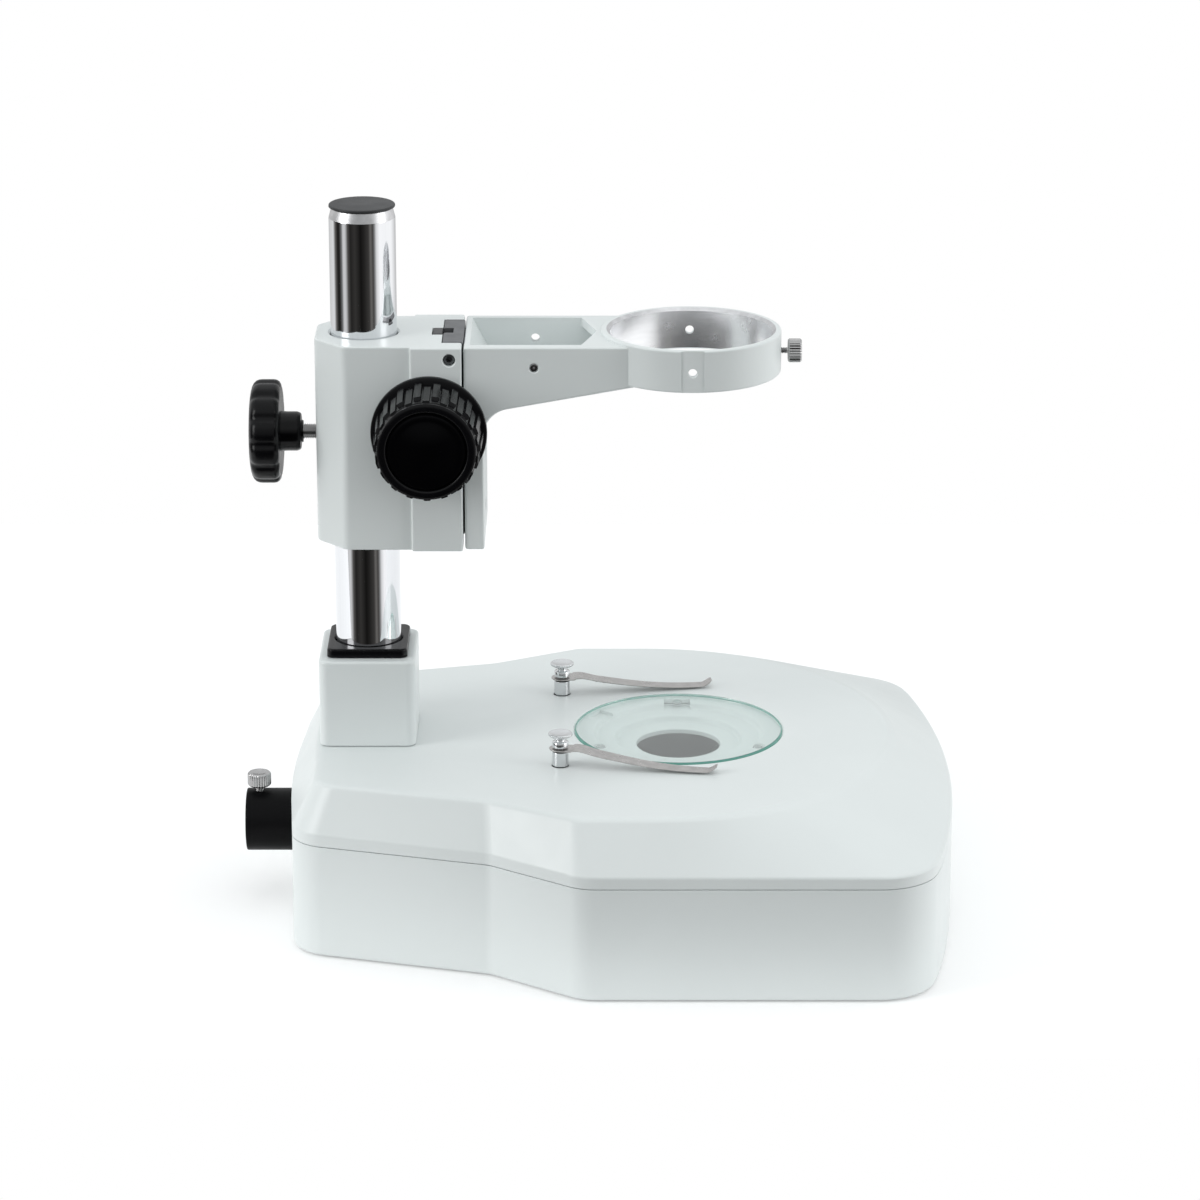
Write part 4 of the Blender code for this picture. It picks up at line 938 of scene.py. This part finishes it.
def grip_height(turn, out):
    """Pads all round: every other one is high and stops short of the face, the rest of the flange."""
    pitch = 2 * math.pi / GRIPS
    index = round(turn / pitch)
    off = abs(turn - index * pitch) / pitch
    start, end, height = (44.6, 66.8, 0.8) if index % 2 else (39.5, 62.2, 1.5)
    side = 1 - smooth_step(off, 0.36, 0.43)
    risen = smooth_step(out, start - 0.25, start + 0.25)
    return height * side * risen * (1 - smooth_step(out, end - 0.25, end + 0.25))


def make_knob(side, name):
    flange_r, body_r, face_r = 26.9, 24.0, 22.4
    bore_r = 3.3
    plain = [(bore_r, 32.2), (13.0, 32.2), (13.0, 35.0), (26.0, 35.0), (flange_r - 0.2, 35.4),
             (flange_r, 36.2), (flange_r, 37.8), (flange_r - 0.25, 38.4), (flange_r - 0.9, 38.7),
             (25.0, 38.9), (body_r - 0.7, 39.3)]
    grips = [(body_r - 0.2 - 0.9 * k / 70, 39.6 + 26.8 * k / 70) for k in range(71)]
    rim = [(face_r - 0.2, 66.9), (face_r + 0.35, 67.5), (face_r + 0.2, 68.3), (face_r - 0.5, 68.8),
           (face_r - 1.4, 69.0), (19.6, 69.0), (18.9, 68.8), (18.4, 68.2), (18.2, 66.6), (bore_r, 66.6)]

    def gripped(radius, turn, out):
        return radius + (grip_height(turn, out) if GRIPS_START <= out <= GRIPS_END else 0.0)

    rings = rings_about(plain + grips + rim, GRIPS * 14, gripped)
    shape = laid(stacked(rings, closed_loop=True), (0, side, 0), SHAFT.x, 0, SHAFT.z)
    piece(f"grip_knob_{name}", shape, "black", "focus_drive", f"focus_knob_{name}", sharp=35)
    cap = [(0, 66.9), (17.8, 66.9), (17.85, 68.2), (17.4, 69.0), (16.4, 69.4), (15.2, 69.35), (14.0, 69.6)]
    cap += [(14.0 - 14.0 * k / 10, 69.6 + 2.4 * math.sin(math.pi / 2 * k / 10)) for k in range(1, 11)]
    shape = laid(turned(cap, 160), (0, side, 0), SHAFT.x, 0, SHAFT.z)
    piece(f"knob_disc_{name}", shape, "gloss", "focus_drive", f"knob_cap_{name}")


# ---- carriage

def make_rail():
    top = high("slide_rail").z
    rail = block((-71.8, -21, low("slide_rail").z), (PLATE_REAR_X - 0.3, 21, top))
    piece("rail", rail, "steel", "carriage", "slide_rail", edge=0.9,
          cuts=(block((-75, -4.3, 180), (-67.1, 4.3, 300)),))
    near, far = low("travel_stop"), high("travel_stop")
    piece("stop_lug", block(near, far), "blackened", "carriage", "travel_stop", edge=0.7)
    for k in (1, 2):
        z = (low(f"rail_screw_{k}").z + high(f"rail_screw_{k}").z) / 2
        x = high(f"rail_screw_{k}").x
        head = eased([(0, -66.0), (2.0, -66.0), (2.0, x - 4.0), (3.5, x - 4.0), (3.5, x), (1.0, x), (0, x)],
                     [0, 0.2, 0, 0.2, 0.4, 0, 0])
        piece(f"cap_screw_{k}", laid(turned(head, 64), X_AXIS, z=z), "steel", "carriage", f"rail_screw_{k}",
              cuts=(laid(hex_socket(3.0, x - 2.2, x + 2), X_AXIS, z=z),))


def arm_profile():
    """The arm seen from the side: a level top, a rising underside and the carriage plate."""
    foot_z = low("arm").z
    near_ring = (19.0, 260.4)
    corner = (PLATE_FRONT_X, 247.6)
    foot = (PLATE_FRONT_X, foot_z)
    return [(PLATE_REAR_X, foot_z), foot, *fillet(foot, corner, near_ring, 13, 24),
            near_ring, (19.0, ARM_TOP_Z), (PLATE_REAR_X, ARM_TOP_Z)]


def through_hole(radius, chamfer, face, end):
    """A cutter for a hole along Z whose chamfered mouths lie at -face and face."""
    wide = radius + chamfer
    return turned([(0, -end), (wide, -end), (wide, -face), (radius, -face + chamfer),
                   (radius, face - chamfer), (wide, face), (wide, end), (0, end)], 48)


def make_arm():
    bottom, top = RING_BOTTOM_Z, RING_TOP_Z
    outside = [(0, bottom), (RING_OUTER_R, bottom), (RING_OUTER_R, top), (0, top)]
    ring = turned(eased(outside, [0, 1.0, 1.0, 0], 5), 192)
    r = RING_BORE_R
    bore = turned([(0, 240), (r + 0.6, 240), (r + 0.6, bottom), (r, bottom + 0.6), (r, top - 1.4),
                   (r + 1.5, top), (r + 1.5, 290), (0, 290)], 192)
    half = POCKET_HALF_WIDTH
    plate_z = ARM_TOP_Z - 4.0
    side = half - 0.1
    point = rounded([(POCKET_END_X - 4, -side), (POCKET_END_X, -side), (POCKET_TIP_X, 0),
                     (POCKET_END_X, side), (POCKET_END_X - 4, side)], [0, 1.5, 3, 1.5, 0], 6)
    hollow = [(PLATE_REAR_X + 10.8, POCKET_FLOOR_Z), (2.0, POCKET_FLOOR_Z), (2.0, plate_z),
              (POCKET_END_X, plate_z), (POCKET_END_X, 285), (PLATE_REAR_X - 0.2, 285)]
    flats = [block((RING_X - 5.3, y - 4, 255), (RING_X + 5.3, y + 4, 285)) for y in (-45.3, 45.3)]
    flat_y = 41.3
    grub = (low("arm_grub_screw") + high("arm_grub_screw")) / 2
    side_hole = laid(through_hole(2.05, 0.3, flat_y, 50), Y_AXIS, RING_X, 0, RING_HOLE_Z)
    front_hole = laid(rod(1.8, 30, 50, 32), X_AXIS, RING_X, 0, RING_HOLE_Z)
    wall = ARM_HALF_WIDTH
    wall_hole = laid(through_hole(2.1, 0.4, wall, 40), Y_AXIS, grub.x, 0, grub.z)
    seats = []
    for k in (1, 2):
        z = (low(f"rail_screw_{k}").z + high(f"rail_screw_{k}").z) / 2
        hole = turned([(0, -70), (2.3, -70), (2.3, PLATE_FRONT_X - 4.4), (3.8, PLATE_FRONT_X - 4.4),
                       (3.8, PLATE_FRONT_X - 0.3), (4.1, PLATE_FRONT_X), (4.1, -45), (0, -45)], 48)
        seats.append(laid(hole, X_AXIS, z=z))
    made = piece("arm_casting", side_on(prism(arm_profile(), -wall, wall)), "enamel", "carriage", "arm",
                 edge=1.2, sharp=24, solver="MANIFOLD", adds=(moved(ring, RING_X),),
                 cuts=(moved(bore, RING_X), prism(point, plate_z - 1, 285),
                       side_on(prism(hollow, -half, half)), together(*flats), side_hole,
                       together(front_hole, wall_hole, *seats)))

    def machined(at, normal):
        spoke = Vector((at.x - RING_X, at.y, 0))
        inward = normal.dot(spoke) < -0.2 * spoke.length
        return inward and spoke.length < r + 1.6 and at.z > bottom - 1

    second_look(made, "bore", machined)
    # Painted shade: the bore's upward chamfer takes the darker satin metal, in place of the dimmer reflection
    # it shows.
    second_look(made, "satin_and_painted_shade", lambda at, normal: machined(at, normal) and normal.z > 0.3)
    make_set_screw("grub_screw", "arm_grub_screw", "carriage", "nickel", 1.9, 4.0,
                   (grub.x, low("arm_grub_screw").y, grub.z), (0, -1, 0), 0.7)


# ---- what stays as packed

KEPT = {
    "zinc": ("bottom_plate", "mirror_bracket", "tube_nut", "socket_bolt_1", "socket_bolt_2", "pole_bolt",
             "focus_shaft", "foot_screw_front_left", "foot_screw_front_right", "foot_screw_rear_left",
             "foot_screw_rear_right"),
    "nickel": ("insert_screw_1", "insert_screw_2", "insert_screw_3"),
    "steel": ("pinion", "rack"),
    "brass": ("shaft_bush_left", "shaft_bush_right", "clamp_pad"),
    "mirror": ("mirror",),
}


def finish_kept_nodes():
    for look, nodes in KEPT.items():
        for node in nodes:
            data = frame["nodes"][node].data
            data.materials.clear()
            data.materials.append(LOOKS[look])


# ---- studio

def make_floor():
    """A pale sheet under and behind the object, which ends a little in front of it."""
    mesh = bpy.data.meshes.new("floor")
    x0, x1, y0, y1 = -0.75, 0.9, -0.2, 0.6
    mesh.from_pydata([(x0, y0, 0), (x1, y0, 0), (x1, y1, 0), (x0, y1, 0)], [], [(0, 1, 2, 3)])
    floor = bpy.data.objects.new("floor", mesh)
    bpy.context.scene.collection.objects.link(floor)
    look = Look("floor", (0.84, 0.84, 0.84), 0.9)
    look.set("Emission Color", (1, 1, 1, 1))
    look.set("Emission Strength", 0.16)
    look.vary_roughness(look.noise(5), 0.03)
    mesh.materials.append(look.material)


# Brightness of the room round the object: (degrees, value), with 0 towards -Y and 90 towards +X
ROOM = [(-180, 0.5), (-150, 0.7), (-118, 0.85), (-106, 0.16), (-94, 0.02), (-84, 0.02), (-74, 0.2),
        (-68, 0.7), (-60, 0.7), (-50, 0.1), (-40, 0.02), (-24, 0.04), (-4, 0.008), (8, 0.02), (24, 0.05),
        (31, 0.16), (40, 0.06), (46, 0.3), (52, 0.8), (64, 1.15), (120, 1.15), (150, 0.7), (180, 0.5)]
OVERHEAD = (0.90, 0.92, 0.93)


def make_world():
    """White all round for the camera. For the object: a bright ceiling and back, a dim room in front."""
    world = bpy.data.worlds.new("studio")
    bpy.context.scene.world = world
    world.use_nodes = True
    studio = Nodes(world.node_tree)
    studio.tree.nodes.clear()
    parts = studio.node("ShaderNodeSeparateXYZ")
    studio.link(studio.node("ShaderNodeTexCoord").outputs["Generated"], parts.inputs[0])
    flipped = studio.node("ShaderNodeMath", operation="MULTIPLY")
    studio.link(parts.outputs["Y"], flipped.inputs[0])
    flipped.inputs[1].default_value = -1
    turn = studio.node("ShaderNodeMath", operation="ARCTAN2")
    studio.link(parts.outputs["X"], turn.inputs[0])
    studio.link(flipped.outputs[0], turn.inputs[1])
    around = studio.node("ShaderNodeValToRGB")
    ramp = around.color_ramp.elements
    while len(ramp) < len(ROOM):
        ramp.new(0.5)
    for stop, (angle, value) in zip(ramp, ROOM):
        stop.position = (angle + 180) / 360
        warm = 0.9 if value < 0.2 else 1.0
        stop.color = (value, value * (0.5 + warm / 2), value * warm, 1)
    studio.link(studio.ranged(turn.outputs[0], 0, 1, -math.pi, math.pi), around.inputs["Fac"])
    upward = studio.ranged(parts.outputs["Z"], 0, 1, -0.05, 0.5)
    room = studio.node("ShaderNodeBackground", Strength=1.0)
    studio.link(studio.mixed(upward, around.outputs["Color"], OVERHEAD), room.inputs["Color"])
    backdrop = studio.node("ShaderNodeBackground", Color=(1, 1, 1, 1))
    seen = studio.node("ShaderNodeLightPath").outputs["Is Camera Ray"]
    surface = studio.choice(seen, room.outputs[0], backdrop.outputs[0])
    studio.link(surface, studio.node("ShaderNodeOutputWorld").inputs["Surface"])


def add_light(name, at, target, size, power):
    data = bpy.data.lights.new(name, "AREA")
    data.shape = "RECTANGLE"
    data.size, data.size_y = size
    data.energy = power
    light = bpy.data.objects.new(name, data)
    light.location = at
    light.rotation_euler = (Vector(target) - Vector(at)).to_track_quat("-Z", "Y").to_euler()
    bpy.context.scene.collection.objects.link(light)


CAMERA_AT = (0.00104, -2.04318, 0.81432)
CAMERA_TILT = math.radians(71.926)
LENS, SENSOR = 135.86, 36.0


def make_camera():
    data = bpy.data.cameras.new("camera")
    data.lens = LENS
    data.sensor_width = SENSOR
    camera = bpy.data.objects.new("camera", data)
    camera.location = CAMERA_AT
    camera.rotation_euler = (CAMERA_TILT, 0, 0)
    bpy.context.scene.collection.objects.link(camera)
    bpy.context.scene.camera = camera


make_camera()
make_base()
make_feet()
make_insert()
make_glass()
make_socket()
make_light_guide()
for side, name in ((1, "right"), (-1, "left")):
    make_clip(side, name)
    make_clip_stand(side, name)
    make_knob(side, name)
make_pole()
gib = make_mount()
make_set_screw("gib_socket_screw", "gib_screw", "focus_mount", "steel", 2.6, 7.4,
               (gib.x, low("gib_screw").y + 0.4, gib.z), (0, -1, 0))
make_clamp()
make_rail()
make_arm()
make_thumbscrew("guide_screw", "guide_screw_feed", "guide_screw_turn",
                (GUIDE_SCREW_X, 0, low("guide_screw_head").z), (0, 0, 1), 5.65, 6.5, 1.9, 6.0)
make_thumbscrew("ring_screw", "ring_screw_feed", "ring_screw_turn",
                (low("ring_screw_head").x, 0, RING_HOLE_Z), (1, 0, 0), 5.6, 6.4, 1.5, 9.0)
finish_kept_nodes()
make_floor()
make_world()
# Each lamp: its place, the point it faces, its size in metres and its watts
add_light("ceiling", (0.1, 0.2, 1.9), (0, 0, 0.15), (1.8, 1.4), 2.5)
add_light("left_box", (-1.9, -0.8, 0.9), (0, 0, 0.1), (0.9, 1.2), 18)
add_light("right_box", (1.9, -0.5, 0.8), (0, 0, 0.1), (0.9, 1.2), 8)
bpy.context.scene.view_settings.view_transform = "Standard"
